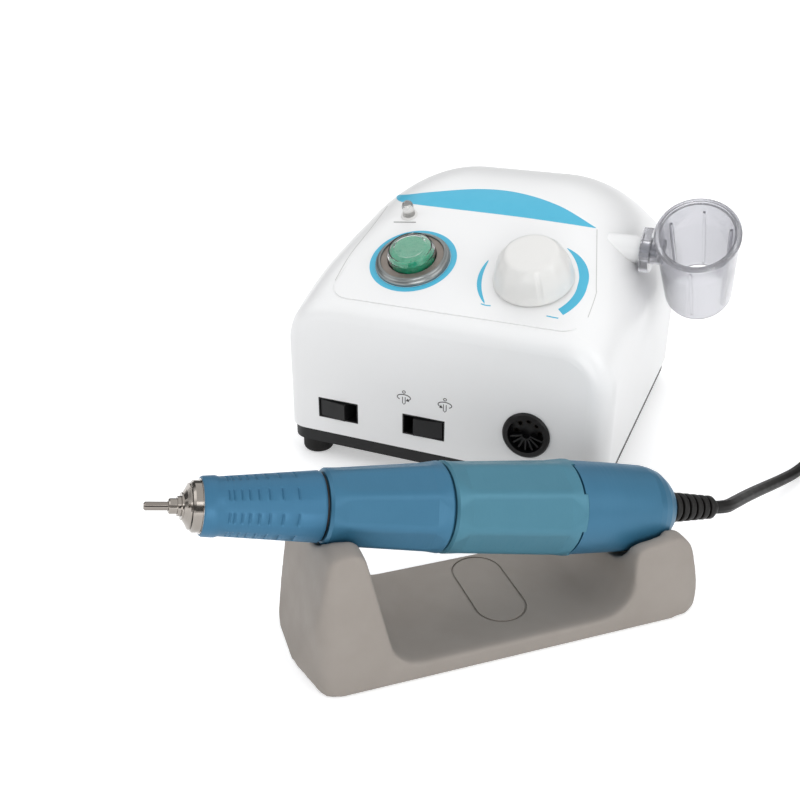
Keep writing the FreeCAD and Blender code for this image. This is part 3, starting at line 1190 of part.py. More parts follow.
def build_rear_cap():
    start = bound.housing_end + bound.seat
    skin = bound.cap_wall
    seat = bound.bearing_radius + bound.seat
    shelf = bound.bearing_rear + bound.rear_bearing_width + bound.seat
    cap = turned("rear_cap_form", [
        (bound.housing_bore, start), (bound.cap_front - 0.3, start),
        (bound.cap_front, start + 0.3), (bound.cap_waist_radius, bound.cap_waist),
        (bound.cap_back_radius, bound.cap_back), (bound.cap_back_radius - 0.45, bound.cap_back
                                                  + 2.3),
        (bound.cap_shoulder_radius, bound.cap_shoulder), (bound.cap_neck_radius + 1.4,
                                                          bound.cap_neck - 1.5),
        (bound.cap_neck_radius, bound.cap_neck), (bound.cap_end_radius + 1.5, bound.cap_neck
                                                  + 1.5),
        (bound.cap_end_radius, bound.cap_end), (bound.cap_bore, bound.cap_end),
        (bound.cap_bore, bound.cap_neck - skin * 3), (bound.cap_bore + 3.0, bound.cap_neck
                                                      - skin * 4),
        (bound.motor_shaft + 1.0, shelf + 2.0), (bound.motor_shaft + 1.0, shelf),
        (seat, shelf), (seat, bound.bearing_rear - 1.0), (bound.housing_bore,
                                                          bound.bearing_rear - 3.0)])
    tongue = teeth(num.housing_end - num.tooth_depth + num.tooth_gap, num.tooth_depth,
                   num.housing_bore, num.cap_front, 0.0, num.tooth_fit)
    keep(fuse([cap, solid(tongue, "cap_teeth")]), "rear_cap", place=piece_place)
    first = bound.cap_end + bound.seat
    length = (bound.relief_end - bound.cap_end) * 0.62
    outline = [(0, bound.cap_neck - skin * 2), (bound.cap_bore - bound.fit, bound.cap_neck
                                                - skin * 2),
               (bound.cap_bore - bound.fit, first), (bound.relief_radius, first)]
    ribs = int(num.relief_rib_count)
    pitch = length / num.relief_rib_count
    for step in range(ribs):
        here = first + 1.4 + pitch * step
        outline += [(bound.relief_radius, here), (bound.relief_radius - bound.relief_groove,
                                                  here + 0.25),
                    (bound.relief_radius - bound.relief_groove, here + 0.75),
                    (bound.relief_radius, here + 1.0)]
    outline += [(bound.relief_radius, first + length + 0.8),
                (bound.relief_radius - 0.5, bound.relief_end - 2.0),
                (bound.relief_tail, bound.relief_end), (0, bound.relief_end)]
    keep(turned("strain_relief", outline), "strain_relief", piece_place)


# Cradle: a block with a scoop between two rests, grooved to the handpiece's own form
def build_cradle():
    n = num
    top = n.front_rest_height
    rise = n.rear_rest_height
    side = soft_face([
        (n.cradle_start, 0, 0), (n.cradle_start + n.front_lean, top, n.rest_round),
        (n.front_rest_edge, top, n.rest_round), (n.front_rest_foot, n.scoop_floor, n.scoop_bend),
        (n.rear_rest_wall, n.scoop_floor, n.scoop_bend), (n.rear_rest_wall - 1.0, rise - 3.0,
                                                          n.rest_round * 0.8),
        (n.rear_rest_top, rise, n.rest_round * 2), (n.cradle_end, 0, 0)])
    side.rotate(vec(), vec(1, 0, 0), 90)
    side = side.extrude(vec(0, n.cradle_near - n.cradle_far, 0))
    side.translate(vec(0, n.cradle_far, 0))
    plan = soft_face([
        (n.cradle_start - 0.1, n.cradle_far, n.cradle_corner),
        (n.cradle_start - 0.1, n.cradle_bend, n.cradle_corner * 2),
        (n.cradle_start + n.cradle_cut, n.cradle_near, n.cradle_corner * 0.6),
        (n.cradle_end + 0.1, n.cradle_near, n.cradle_corner * 1.4),
        (n.cradle_end + 0.1, n.cradle_far, n.cradle_corner * 1.4)])
    side = side.common(plan.extrude(vec(0, 0, top * 2)))
    side = side.cut(groove_form())
    side = side.cut(stadium_form())
    return keep(solid(side, "cradle_form"), "cradle", cradle_place)


def groove_form():
    """Room for the handpiece in the cradle, open upwards, in the cradle's own frame."""
    n = num
    gap = n.groove_gap
    profile = [(n.sleeve_rear * 0.86 + gap, 20.0), (n.sleeve_rear + gap, n.sleeve_end),
               (n.twist_front + gap, n.twist_start - gap), (n.housing_rear + gap, n.twist_end),
               (n.housing_rear + gap, n.cap_back), (n.cap_back_radius + gap, n.cap_back + 0.5),
               (n.cap_shoulder_radius + gap, n.cap_shoulder + 1.0),
               (n.cap_neck_radius + 1.0 + gap, n.cap_neck + 0.5),
               (n.relief_radius + 2.5, n.cap_end + 1.0), (n.relief_radius + 2.5, 190.0)]
    points = [vec(0, 0, profile[0][1])] + [vec(radius, 0, height) for radius, height in profile]
    points.append(vec(0, 0, profile[-1][1]))
    face = Part.Face(Part.makePolygon(points + points[:1]))
    form = face.revolve(vec(), vec(0, 0, 1), 360)
    slab = Part.Face(Part.makePolygon([vec(-x, 0, z) for x, _, z in points[1:-1]]
                                      + [vec(x, 0, z) for x, _, z in reversed(points[1:-1])]
                                      + [vec(-points[1].x, 0, points[1].z)]))
    room = slab.extrude(vec(0, 60.0, 0))
    form = form.fuse(room)
    back = cradle_place.inverse().multiply(piece_place)
    form.Placement = back
    return form


def stadium_form():
    """A plain long oval pressed into the scoop's floor as a thin line."""
    n = num
    half, radius = n.deboss_length / 2, n.deboss_height / 2
    outer = rounded_frame(-radius, radius, -half, half, radius - 0.01)
    inner = rounded_frame(-radius + n.deboss_width, radius - n.deboss_width,
                          -half + n.deboss_width, half - n.deboss_width,
                          radius - n.deboss_width - 0.01)
    line = outer.cut(inner).extrude(vec(0, 0, n.deboss_depth * 4))
    line.translate(vec(n.deboss_middle, n.deboss_across, n.scoop_floor - n.deboss_depth))
    return line


# Cord: the free stretch along a route set by hand, then a coil put away beside the unit.
# The route starts at the strain relief's end face, which is worked out from the handpiece.
CORD_ROUTE = [
    (110.3, -78.5, 21.2), (113.6, -64.5, 16.8), (118.0, -48.0, 11.6), (124.2, -29.5, 6.6),
    (130.6, -12.0, 3.1), (135.6, 6.5, num.cord_radius), (138.3, 24.0, num.cord_radius),
]
CORD_EXIT_RUN = 5.0
ARC_SHARE = 0.45


def cord_route():
    start = piece_place.multVec(vec(0, 0, num.relief_end + num.seat))
    return [start, start + piece_axis * CORD_EXIT_RUN] + [vec(*point) for point in CORD_ROUTE]


def bent_path(points):
    """Straight runs joined by tangent arcs as large as both runs allow."""
    edges = []
    here = points[0]
    for before, corner, after in zip(points, points[1:], points[2:]):
        back = before - corner
        ahead = after - corner
        shorter = min(back.Length, ahead.Length)
        back.normalize()
        ahead.normalize()
        half_turn = (math.pi - back.getAngle(ahead)) / 2
        trim = ARC_SHARE * shorter
        radius = trim / math.tan(half_turn)
        middle = (back + ahead).normalize()
        top = corner + middle * (radius / math.cos(half_turn) - radius)
        edges.append(SEGMENT(here, corner + back * trim).toShape())
        edges.append(Part.Arc(corner + back * trim, top, corner + ahead * trim).toShape())
        here = corner + ahead * trim
        print("cord arc radius %.1f, turn %.0f" % (radius, math.degrees(half_turn * 2)))
    edges.append(SEGMENT(here, points[-1]).toShape())
    return Part.Wire(edges)


def tube(path, start, direction, radius):
    """A round tube along a path that leaves start in the given direction."""
    section = Part.Wire([Part.makeCircle(radius, start, direction)])
    shape = path.makePipeShell([section], True, False)
    whole = math.pi * radius ** 2 * path.Length
    print("tube length %.0f, volume %.4f of section times length"
          % (path.Length, shape.Volume / whole))
    return shape


def coil_point(turns_done, start_angle, centre):
    """Place and heading on the coil, clockwise, in along one layer and out along the next."""
    half = num.coil_turns / 2
    soft = 0.15
    away = math.sqrt((turns_done - half) ** 2 + soft ** 2)
    radius = num.coil_inner + num.coil_pitch * away
    drift = num.coil_pitch * (turns_done - half) / away
    climb = min(max((turns_done - half + 0.25) * 2, 0.0), 1.0)
    height = num.cord_radius + num.coil_layer * (1 - math.cos(math.pi * climb)) / 2
    lift = num.coil_layer * math.pi * math.sin(math.pi * climb) if 0 < climb < 1 else 0.0
    angle = start_angle - 2 * math.pi * turns_done
    out = vec(math.cos(angle), math.sin(angle), 0)
    round_way = vec(math.sin(angle), -math.cos(angle), 0)
    place = centre + out * radius + vec(0, 0, height)
    heading = round_way * (2 * math.pi * radius) + out * drift + vec(0, 0, lift)
    return place, heading.normalize()


def arc_between(start, corner, end):
    """The arc from start to end whose end tangents meet at corner."""
    middle = (start + end) * 0.5
    half = (end - start).Length / 2
    reach = corner - middle
    quarter = math.atan2(reach.Length, half) / 2
    return Part.Arc(start, middle + reach.normalize() * (half * math.tan(quarter)), end)


def biarc(start, first, end, last):
    """Two tangent arcs between two places with the given headings."""
    span = end - start
    both = first + last
    bend = 2 * (1 - first.dot(last))
    along = span.dot(both)
    reach = (math.sqrt(along ** 2 + bend * span.dot(span)) - along) / bend
    one = start + first * reach
    two = end - last * reach
    joint = (one + two) * 0.5
    return [arc_between(start, one, joint).toShape(), arc_between(joint, two, end).toShape()]


def coil_frame():
    """Centre and start angle of the coil, whose first turn goes on from the route."""
    route = cord_route()
    heading = (route[-1] - route[-2]).normalize()
    lead = route[-1] + heading * (2 * num.cord_radius)
    right = vec(heading.y, -heading.x, 0)
    radius = (coil_point(0, math.pi, vec())[0]).x
    centre = lead - vec(0, 0, num.cord_radius) - right * radius
    angle = math.atan2(-right.y, -right.x)
    return route[-1], heading, lead, centre, angle


def build_cord():
    route = cord_route()
    path = bent_path(route)
    stretch = tube(path, route[0], piece_axis, num.cord_radius)
    keep(solid(stretch, "cord_form"), "cord")
    start, heading, lead, centre, angle = coil_frame()
    edges = [SEGMENT(start, lead).toShape()]
    here, way = lead, heading
    steps = int(round(num.coil_turns * 4))
    samples = []
    for step in range(1, steps + 1):
        place, going = coil_point(step * num.coil_turns / steps, angle, centre)
        edges += biarc(here, way, place, going)
        here, way = place, going
    end = here + way * num.coil_tail
    edges.append(SEGMENT(here, end).toShape())
    for step in range(steps * 18 + 1):
        samples.append(coil_point(step * num.coil_turns / (steps * 18), angle, centre)[0])
    apart = 36
    least = min((first - second).Length for index, first in enumerate(samples)
                for second in samples[index + apart:])
    print("coil's least gap to itself %.2f" % (least - 2 * num.cord_radius))
    coil = tube(Part.Wire(edges), start, heading, num.cord_radius)
    keep(solid(coil, "coil_form"), "cord_coil")
    build_plug(end, way)


def build_plug(start, heading):
    place = FreeCAD.Placement(start, FreeCAD.Rotation(vec(0, 0, 1), heading))
    face = bound.plug_length - bound.plug_face
    keep(turned("plug_shell", [
        (0, bound.seat), (bound.cord_radius + 1.0, bound.seat),
        (bound.plug_radius - 1.4, bound.plug_taper * 2),
        (bound.plug_radius, bound.plug_taper * 3), (bound.plug_radius, bound.plug_length - 0.5),
        (bound.plug_radius - 0.5, bound.plug_length), (bound.plug_bore, bound.plug_length),
        (bound.plug_bore, face), (0, face)]), "plug_shell", place)
    outer = bound.plug_bore - bound.fit / 2
    keep(ring("plug_collar", outer - bound.skirt_wall, outer, face + bound.seat,
              face + bound.skirt_length), "plug_collar", place)
    pins = []
    for step in range(int(num.contact_count)):
        angle = math.radians((step - (num.contact_count - 1) / 2) * num.contact_step)
        pins.append(rod(bound.plug_pin_radius, bound.plug_pin_length,
                        num.contact_circle * math.cos(angle),
                        num.contact_circle * math.sin(angle), face + bound.seat))
    keep(group(pins), "plug_pins", place)


build_casing()
build_tray()
build_feet()
build_button()
build_lamp()
build_knob()
build_rockers()
build_socket()
build_board()
build_transformer()
build_rear()
build_cup()
build_nose()
build_front()
build_twist_ring()
build_motor()
build_rear_cap()
build_cradle()
build_cord()

doc.recompute()

broken = [obj.Name for obj in doc.Objects if "Invalid" in obj.State or "Error" in obj.State]
if broken:
    raise SystemExit("failed objects: " + ", ".join(broken))
for node in NODES:
    if node.Shape.isNull() or not node.Shape.isValid():
        raise SystemExit("bad shape: " + node.Label)

os.makedirs("parts", exist_ok=True)
for node in NODES:
    node.Shape.exportStep("parts/%s.step" % node.Label)
    print("%-20s solids %2d  volume %10.1f" % (node.Label, len(node.Shape.Solids),
                                                node.Shape.Volume))
print("nodes:", len(NODES))
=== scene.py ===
# %% [markdown]
# # A dental micromotor
# A dental micromotor is a small drill for laboratory and surgery work. A control unit feeds a
# slim handpiece over a thin cord, and the handpiece lies on a loose moulded cradle. The packed
# CAD model is the fixed frame here: each of its nodes is already the right size and in the
# right place, so this lesson gives them their surfaces, and adds what a solid modeller leaves
# out: the printed marks, the ribbed cord, the soft edges of the rubber.

# %% Load the frame
import math

import bmesh
import bpy
from mathutils import Matrix, Vector
from mathutils.bvhtree import BVHTree


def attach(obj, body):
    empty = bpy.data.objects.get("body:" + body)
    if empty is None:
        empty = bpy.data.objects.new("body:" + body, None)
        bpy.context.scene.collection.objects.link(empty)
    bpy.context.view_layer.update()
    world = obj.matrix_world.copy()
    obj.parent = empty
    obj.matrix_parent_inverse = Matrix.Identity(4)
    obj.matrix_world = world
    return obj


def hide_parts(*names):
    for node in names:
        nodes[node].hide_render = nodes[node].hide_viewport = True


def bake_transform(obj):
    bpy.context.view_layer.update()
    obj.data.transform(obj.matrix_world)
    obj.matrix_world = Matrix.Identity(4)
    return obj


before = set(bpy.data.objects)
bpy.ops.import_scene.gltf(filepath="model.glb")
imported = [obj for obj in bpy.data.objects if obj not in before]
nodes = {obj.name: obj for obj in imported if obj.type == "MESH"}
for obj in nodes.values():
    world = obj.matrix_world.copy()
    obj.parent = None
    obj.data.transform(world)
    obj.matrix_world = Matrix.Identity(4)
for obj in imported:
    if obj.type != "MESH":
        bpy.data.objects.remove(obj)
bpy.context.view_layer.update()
MM = 0.001

# %% [markdown]
# ## The camera
# The photograph was matched by the edges of the unit and of the handpiece: it was taken from
# the front right and from above, with a lens a little longer than normal. A camera at that
# place and with that lens shows every piece at the size it has in the picture, so it comes
# before anything else.

# %% Camera
CAMERA_PLACE = Vector((117.29, -375.07, 192.66)) * MM
CAMERA_AZIMUTH, CAMERA_ELEVATION = math.radians(23.73), math.radians(25.83)
camera_data = bpy.data.cameras.new("camera")
camera_data.sensor_width, camera_data.lens = 36.0, 42.75
camera_data.clip_start, camera_data.clip_end = 0.02, 10.0
camera = bpy.data.objects.new("camera", camera_data)
camera.location = CAMERA_PLACE
camera.rotation_euler = (math.pi / 2 - CAMERA_ELEVATION, 0.0, CAMERA_AZIMUTH)
bpy.context.scene.collection.objects.link(camera)
bpy.context.scene.camera = camera
print("camera at", tuple(round(value, 4) for value in CAMERA_PLACE))

# %% [markdown]
# ## Frames of reference
# Three groups of pieces are tilted: the operating panel slopes up to the back, the handpiece
# points down and away, and the cradle is turned under it. A matrix for each lets a size be
# written as it would be measured on the piece, such as a distance from the tip of the bur.

# %% Frames
CASE_DEPTH = 150.0 * MM
PANEL_FOOT, PANEL_SLOPE = 67.0 * MM, math.radians(26.25)
PIECE_TURN, PIECE_DIP = math.radians(42.5), math.radians(11.6)
BUR_TIP = Vector((-27.4, -210.6, 61.2)) * MM

panel_up = Vector((0.0, math.cos(PANEL_SLOPE), math.sin(PANEL_SLOPE)))
panel_out = Vector((0.0, -math.sin(PANEL_SLOPE), math.cos(PANEL_SLOPE)))
panel_foot = Vector((0.0, -CASE_DEPTH / 2, PANEL_FOOT))

course = Vector((math.cos(PIECE_TURN), math.sin(PIECE_TURN), 0.0))
across = Vector((-math.sin(PIECE_TURN), math.cos(PIECE_TURN), 0.0))
piece_axis = course * math.cos(PIECE_DIP) - Vector((0.0, 0.0, math.sin(PIECE_DIP)))


def frame_matrix(x_way, y_way, z_way, origin):
    """The matrix that puts a piece made round its own origin where these axes say."""
    matrix = Matrix((x_way, y_way, z_way)).transposed().to_4x4()
    matrix.translation = origin
    return matrix


piece_frame = frame_matrix(across, piece_axis.cross(across), piece_axis, BUR_TIP)
print("handpiece axis", tuple(round(value, 5) for value in piece_axis))

# %% [markdown]
# ## The cord's line
# The handpiece cord is a light, limp lead. It leaves the rubber sleeve straight, sinks to the
# table, runs out of the picture to the right, and what isn't seen is wound into a flat coil
# just beyond. A NURBS spline of order 3 passes smoothly along a few given points, and
# the coil's turns are more points of the same spline, worked out by a formula because they are
# regular: eight and a half turns, in along the floor and out again on top.

# %% Cord's control points
CORD_RADIUS = 2.2 * MM
RELIEF_END = 182.75 * MM
exit_point = BUR_TIP + piece_axis * RELIEF_END
STRAIGHT_END = 5.0 * MM
ROUTE_MM = [(110.3, -78.5, 21.2), (113.6, -64.5, 16.8), (118.0, -48.0, 11.6),
            (124.2, -29.5, 6.6), (130.6, -12.0, 3.1), (135.6, 6.5, 2.2), (138.3, 24.0, 2.2)]
route = [exit_point, exit_point + piece_axis * STRAIGHT_END]
route += [Vector(point) * MM for point in ROUTE_MM]

COIL_TURNS, COIL_INNER, COIL_PITCH, COIL_LAYER = 8.5, 14.7 * MM, 5.2 * MM, 5.1 * MM
COIL_SOFT, POINTS_PER_TURN, LEAD_IN, COIL_TAIL = 0.15, 18, 2 * CORD_RADIUS, 12.0 * MM
CLIMB_TURNS = 0.5
half_turns = COIL_TURNS / 2


def coil_radius(turns):
    return COIL_INNER + COIL_PITCH * math.hypot(turns - half_turns, COIL_SOFT)


heading = (route[-1] - route[-2]).normalized()
coil_start = route[-1] + heading * LEAD_IN
right_hand = Vector((heading.y, -heading.x, 0.0))
coil_centre = coil_start + right_hand * coil_radius(0.0)
start_angle = math.atan2(-right_hand.y, -right_hand.x)
coil_points = []
for step in range(int(COIL_TURNS * POINTS_PER_TURN) + 1):
    turns = step / POINTS_PER_TURN
    climb = min(max((turns - half_turns) / CLIMB_TURNS + 0.5, 0.0), 1.0)
    angle = start_angle - 2 * math.pi * turns
    lift = COIL_LAYER * (1 - math.cos(math.pi * climb)) / 2
    spoke = Vector((math.cos(angle), math.sin(angle), 0.0)) * coil_radius(turns)
    coil_points.append(Vector((coil_centre.x, coil_centre.y, CORD_RADIUS + lift)) + spoke)
last_way = (coil_points[-1] - coil_points[-2]).normalized()
last_way = Vector((last_way.x, last_way.y, 0.0)).normalized()
cord_points = route + coil_points + [coil_points[-1] + last_way * COIL_TAIL]
print("cord: %d control points, coil centre %s" % (len(cord_points), tuple(coil_centre)))

# %% Cord's NURBS spline
line_data = bpy.data.curves.new("cord_line", "CURVE")
line_data.dimensions, line_data.resolution_u = "3D", 5
spline = line_data.splines.new("NURBS")
spline.points.add(len(cord_points) - 1)
for knot, point in zip(spline.points, cord_points):
    knot.co = (*point, 1.0)
spline.order_u, spline.use_endpoint_u = 3, True
line_object = bpy.data.objects.new("cord_line", line_data)
bpy.context.scene.collection.objects.link(line_object)
bpy.context.view_layer.update()
line_mesh = bpy.data.meshes.new_from_object(line_object)
bpy.data.objects.remove(line_object)

# %% [markdown]
# ## A floor, a backdrop and soft light
# The picture is a cut-out on white, so the floor is a pale sheet and the world is white where
# the camera or clear plastic looks straight at it. A mirror sees white walls too, with a darker
# gap below the ceiling lamp that gives bright metal its dark edges. For everything else the
# world is a quiet grey, and four large soft lamps light the piece, so that colours come out
# about as they are written.

# %% Colours and nodes
def srgb(code):
    """A colour written as a web code, as the linear values that Blender mixes."""
    parts = [int(code[place:place + 2], 16) / 255 for place in (1, 3, 5)]
    linear = [part / 12.92 if part <= 0.04045 else ((part + 0.055) / 1.055) ** 2.4
              for part in parts]
    return (*linear, 1.0)


def add(tree, kind, sockets=None, **settings):
    """Add one node, set its properties, and give each socket a value or a link.

    A node given as a value stands for its first output.
    """
    node = tree.nodes.new(kind)
    for name, value in settings.items():
        setattr(node, name, value)
    for name, value in (sockets or {}).items():
        if isinstance(value, bpy.types.Node):
            value = value.outputs[0]
        if isinstance(value, bpy.types.NodeSocket):
            tree.links.new(value, node.inputs[name])
        else:
            node.inputs[name].default_value = value
    return node


def calc(tree, operation, *values):
    """The result of a Math node that works on numbers or on other nodes' sockets."""
    return add(tree, "ShaderNodeMath", dict(enumerate(values)), operation=operation).outputs[0]


def looked_at(tree):
    """The rays' kinds, and 1 where a camera, a mirror or clear plastic looks."""
    ray = add(tree, "ShaderNodeLightPath").outputs
    seen = calc(tree, "MAXIMUM", ray["Is Camera Ray"], ray["Is Glossy Ray"])
    return ray, calc(tree, "MAXIMUM", seen, ray["Is Transmission Ray"])


print("white is", srgb("#FFFFFF"))

# %% World
WORLD_GREY, WORLD_STRENGTH = "#D9DADC", 0.95
GAP_HEIGHT, GAP_HALF, GAP_FADED, GAP_STRENGTH = 0.28, 0.16, 0.24, 0.12
world = bpy.data.worlds.new("studio")
world.use_nodes = True
sky = world.node_tree
sky.nodes.clear()
ray, straight = looked_at(sky)
soft = add(sky, "ShaderNodeBackground",
           {"Color": srgb(WORLD_GREY), "Strength": WORLD_STRENGTH})
white = add(sky, "ShaderNodeBackground", {"Color": (1, 1, 1, 1), "Strength": 1.0})
# Bright metal mirrors a studio: white walls with a darker gap below the ceiling lamps.
way_up = add(sky, "ShaderNodeSeparateXYZ",
             {0: add(sky, "ShaderNodeTexCoord").outputs["Generated"]}).outputs[2]
from_gap = calc(sky, "ABSOLUTE", calc(sky, "SUBTRACT", way_up, GAP_HEIGHT))
walls = add(sky, "ShaderNodeMapRange", {0: from_gap, 1: GAP_HALF, 2: GAP_FADED,
                                        3: GAP_STRENGTH, 4: 1.0})
mirrored = add(sky, "ShaderNodeBackground", {"Color": (1, 1, 1, 1),
                                             "Strength": walls})
shiny = add(sky, "ShaderNodeMixShader", {0: ray["Is Glossy Ray"], 1: white,
                                         2: mirrored})
choice = add(sky, "ShaderNodeMixShader",
             {0: straight, 1: soft, 2: shiny})
add(sky, "ShaderNodeOutputWorld", {"Surface": choice})
bpy.context.scene.world = world
bpy.context.scene.view_settings.view_transform = "Standard"
print("world strength", WORLD_STRENGTH)

# %% Lamps
LAMPS = [  # name, place, aimed at, size, power in watts, all in metres
    ("top_softbox", (-0.10, 0.35, 1.10), (0.0, -0.05, 0.0), 1.10, 3.8),
    ("left_softbox", (-0.95, -0.75, 0.65), (0.0, -0.10, 0.05), 0.80, 2.1),
    ("right_softbox", (1.05, -0.35, 0.60), (0.0, -0.05, 0.05), 0.70, 3.1),
    ("front_fill", (0.55, -1.25, 0.20), (0.0, -0.10, 0.05), 0.80, 6.8),
]
for name, place, aim, size, power in LAMPS:
    lamp = bpy.data.lights.new(name, "AREA")
    lamp.shape, lamp.size, lamp.energy = "SQUARE", size, power
    holder = bpy.data.objects.new(name, lamp)
    holder.location = place
    holder.rotation_euler = (Vector(aim) - Vector(place)).to_track_quat("-Z", "Y").to_euler()
    bpy.context.scene.collection.objects.link(holder)
# The ceiling lamp would show as a pale patch in the panel's gloss, so mirrors leave it out.
bpy.data.objects["top_softbox"].visible_glossy = False
print("lamps:", len(LAMPS))

# %% Floor
def mesh_object(name, points, faces, smooth=False):
    """A new object from plain lists of points and faces, at the origin."""
    mesh = bpy.data.meshes.new(name)
    mesh.from_pydata([tuple(point) for point in points], [], faces)
    mesh.update()
    if smooth:
        mesh.shade_smooth()
    made = bpy.data.objects.new(name, mesh)
    bpy.context.scene.collection.objects.link(made)
    return made


def face_outward(made):
    """Turn every face of a closed piece outward."""
    checked = bmesh.new()
    checked.from_mesh(made.data)
    bmesh.ops.recalc_face_normals(checked, faces=checked.faces)
    checked.to_mesh(made.data)
    checked.free()


def new_finish(name):
    """A material with an empty tree, and the place on the object as a socket."""
    made = bpy.data.materials.new(name)
    made.use_nodes = True
    made.node_tree.nodes.clear()
    place = add(made.node_tree, "ShaderNodeTexCoord").outputs["Object"]
    return made, made.node_tree, place


FLOOR_HALF = 4.0
FLOOR_LEVEL = -0.05 * MM
FLOOR_GLOW, FAR_GLOW = 0.42, 1.0  # what the sheet adds near the object, and far behind it
FADE_NEAR, FADE_FAR = 0.35, 1.1
floor = mesh_object("floor", [(-FLOOR_HALF, -FLOOR_HALF, FLOOR_LEVEL),
                              (FLOOR_HALF, -FLOOR_HALF, FLOOR_LEVEL),
                              (FLOOR_HALF, FLOOR_HALF, FLOOR_LEVEL),
                              (-FLOOR_HALF, FLOOR_HALF, FLOOR_LEVEL)], [(0, 1, 2, 3)])
paper, tree, spot = new_finish("white_paper_sheet")
ray, looked = looked_at(tree)
reach = add(tree, "ShaderNodeVectorMath", {0: spot}, operation="LENGTH").outputs["Value"]
share = add(tree, "ShaderNodeMapRange", {0: reach, 1: FADE_NEAR, 2: FADE_FAR, 3: FLOOR_GLOW,
                                         4: FAR_GLOW})
glow = calc(tree, "MULTIPLY", looked, share)
glowing = add(tree, "ShaderNodeEmission", {"Color": (1, 1, 1, 1), "Strength": glow})
matt = add(tree, "ShaderNodeBsdfDiffuse", {"Color": srgb("#EDEDED")})
both = add(tree, "ShaderNodeAddShader", {0: glowing, 1: matt})
add(tree, "ShaderNodeOutputMaterial", {"Surface": both})
floor.data.materials.append(paper)
print("floor", FLOOR_HALF * 2, "m across")

# %% [markdown]
# ## Moulded plastic and rubber
# Moulded pieces share a build: a smooth skin that carries the fine texture of the steel mould,
# a very slight clouding of colour, and an uneven gloss where hands and wiping have polished
# it. One function makes such a finish from its real sizes in millimetres: the width of the
# clouds, the grain of the mould and its depth. Each call then names one real material.

# %% Moulded finish
def close_finish(tree, colour, wear, gloss, height, depth_mm, strength, **constants):
    """The last nodes of a finish: gloss that follows one pattern, relief from another."""
    polish = add(tree, "ShaderNodeMapRange",
                 {0: wear, 1: 0.3, 2: 0.7, 3: gloss[0], 4: gloss[1]})
    relief = add(tree, "ShaderNodeBump", {"Height": height, "Distance": depth_mm * MM,
                                          "Strength": strength})
    shader = add(tree, "ShaderNodeBsdfPrincipled",
                 {"Base Color": colour, "Roughness": polish,
                  "Normal": relief, **constants})
    add(tree, "ShaderNodeOutputMaterial", {"Surface": shader})


def moulded(name, colour, shade, cloud_mm, grain_mm, depth_mm, gloss, **constants):
    """A finish for a moulded piece: two close colours, a mould grain and an uneven gloss."""
    made, tree, place = new_finish(name)
    clouds = add(tree, "ShaderNodeTexNoise", {"Vector": place, "Scale": 1 / (cloud_mm * MM),
                                              "Detail": 3.0})
    grain = add(tree, "ShaderNodeTexNoise", {"Vector": place, "Scale": 1 / (grain_mm * MM),
                                             "Detail": 2.0})
    tint = add(tree, "ShaderNodeMix", {0: clouds, 6: srgb(colour), 7: srgb(shade)},
               data_type="RGBA")
    close_finish(tree, tint.outputs[2], clouds, gloss, grain, depth_mm,
                 1.0, **constants)
    return made


# Black pieces are lit from all round, so a weaker surface shine keeps them black.
DULL = {"Specular IOR Level": 0.28}

# Gloss-moulded ABS: a bright white with a clean, slightly soft reflection.
white_abs = moulded("gloss_moulded_abs_white", "#E9E9E9", "#E7E7E6", 30.0, 0.9, 0.004,
                    (0.30, 0.34), IOR=1.54)
# The same ABS for the knob, painted a touch darker and warmer: painted shade over the whole
# knob, which the front lamps light too brightly.
knob_abs_painted_darker = moulded("gloss_moulded_abs_knob_painted_darker", "#DEDDDA", "#DBDAD7", 14.0, 0.7, 0.004,
                   (0.28, 0.33), IOR=1.54)
# Spark-eroded black ABS: the mould's sandy grain breaks the gloss to a satin.
black_abs = moulded("grained_black_abs", "#101011", "#161617", 6.0, 0.35, 0.008,
                    (0.42, 0.55), IOR=1.54, **DULL)
# Glossier black nylon of the socket and the plug.
black_nylon = moulded("moulded_black_nylon", "#070708", "#0C0C0D", 5.0, 0.4, 0.004,
                      (0.30, 0.40), IOR=1.53, **DULL)
# Nitrile rubber of the feet: matt, faintly dusty.
foot_rubber = moulded("matt_nitrile_rubber", "#131212", "#1C1B1A", 4.0, 0.5, 0.02,
                      (0.62, 0.78), IOR=1.52, **DULL)
# PVC of the strain relief and the cord: brownish black with a soft sheen.
cord_pvc = moulded("extruded_pvc_black", "#0D0B0A", "#151312", 3.0, 0.5, 0.008,
                   (0.40, 0.50), IOR=1.53, **DULL)
# Cast silicone of the cradle: warm grey, soft, with a fine even tooth.
silicone = moulded("cast_silicone_warm_grey", "#98918A", "#8F8881", 12.0, 0.45, 0.03,
                   (0.58, 0.72), IOR=1.41)
# Screen-printed ink: a thin even film, a little duller than the plastic under it.
cyan_ink = moulded("screen_ink_cyan", "#45B2D1", "#3FACCC", 5.0, 0.25, 0.003,
                   (0.30, 0.38), IOR=1.50)
# A grey film laid in the groove round the panel: painted shade that darkens the groove's floor.
groove_painted_shade = moulded("painted_groove_shade_grey", "#C6C5C3", "#BDBCBA", 4.0, 0.3, 0.004,
                       (0.5, 0.6), IOR=1.54)
# The second ink, for the lamp's mark and the turning arrows.
dark_ink = moulded("screen_ink_dark_grey", "#3C3A39", "#484645", 2.0, 0.25, 0.003,
                   (0.32, 0.42), IOR=1.50)
# Glass-filled laminate with green solder resist.
laminate = moulded("glass_laminate_green", "#1F5A33", "#28683D", 3.0, 0.4, 0.01,
                   (0.35, 0.5), IOR=1.55)
# Contacts of the socket: brass blackened by its bath.
black_brass = moulded("blackened_brass", "#1A1713", "#221E18", 1.0, 0.2, 0.004, (0.35, 0.5),
                      Metallic=0.5, **DULL)
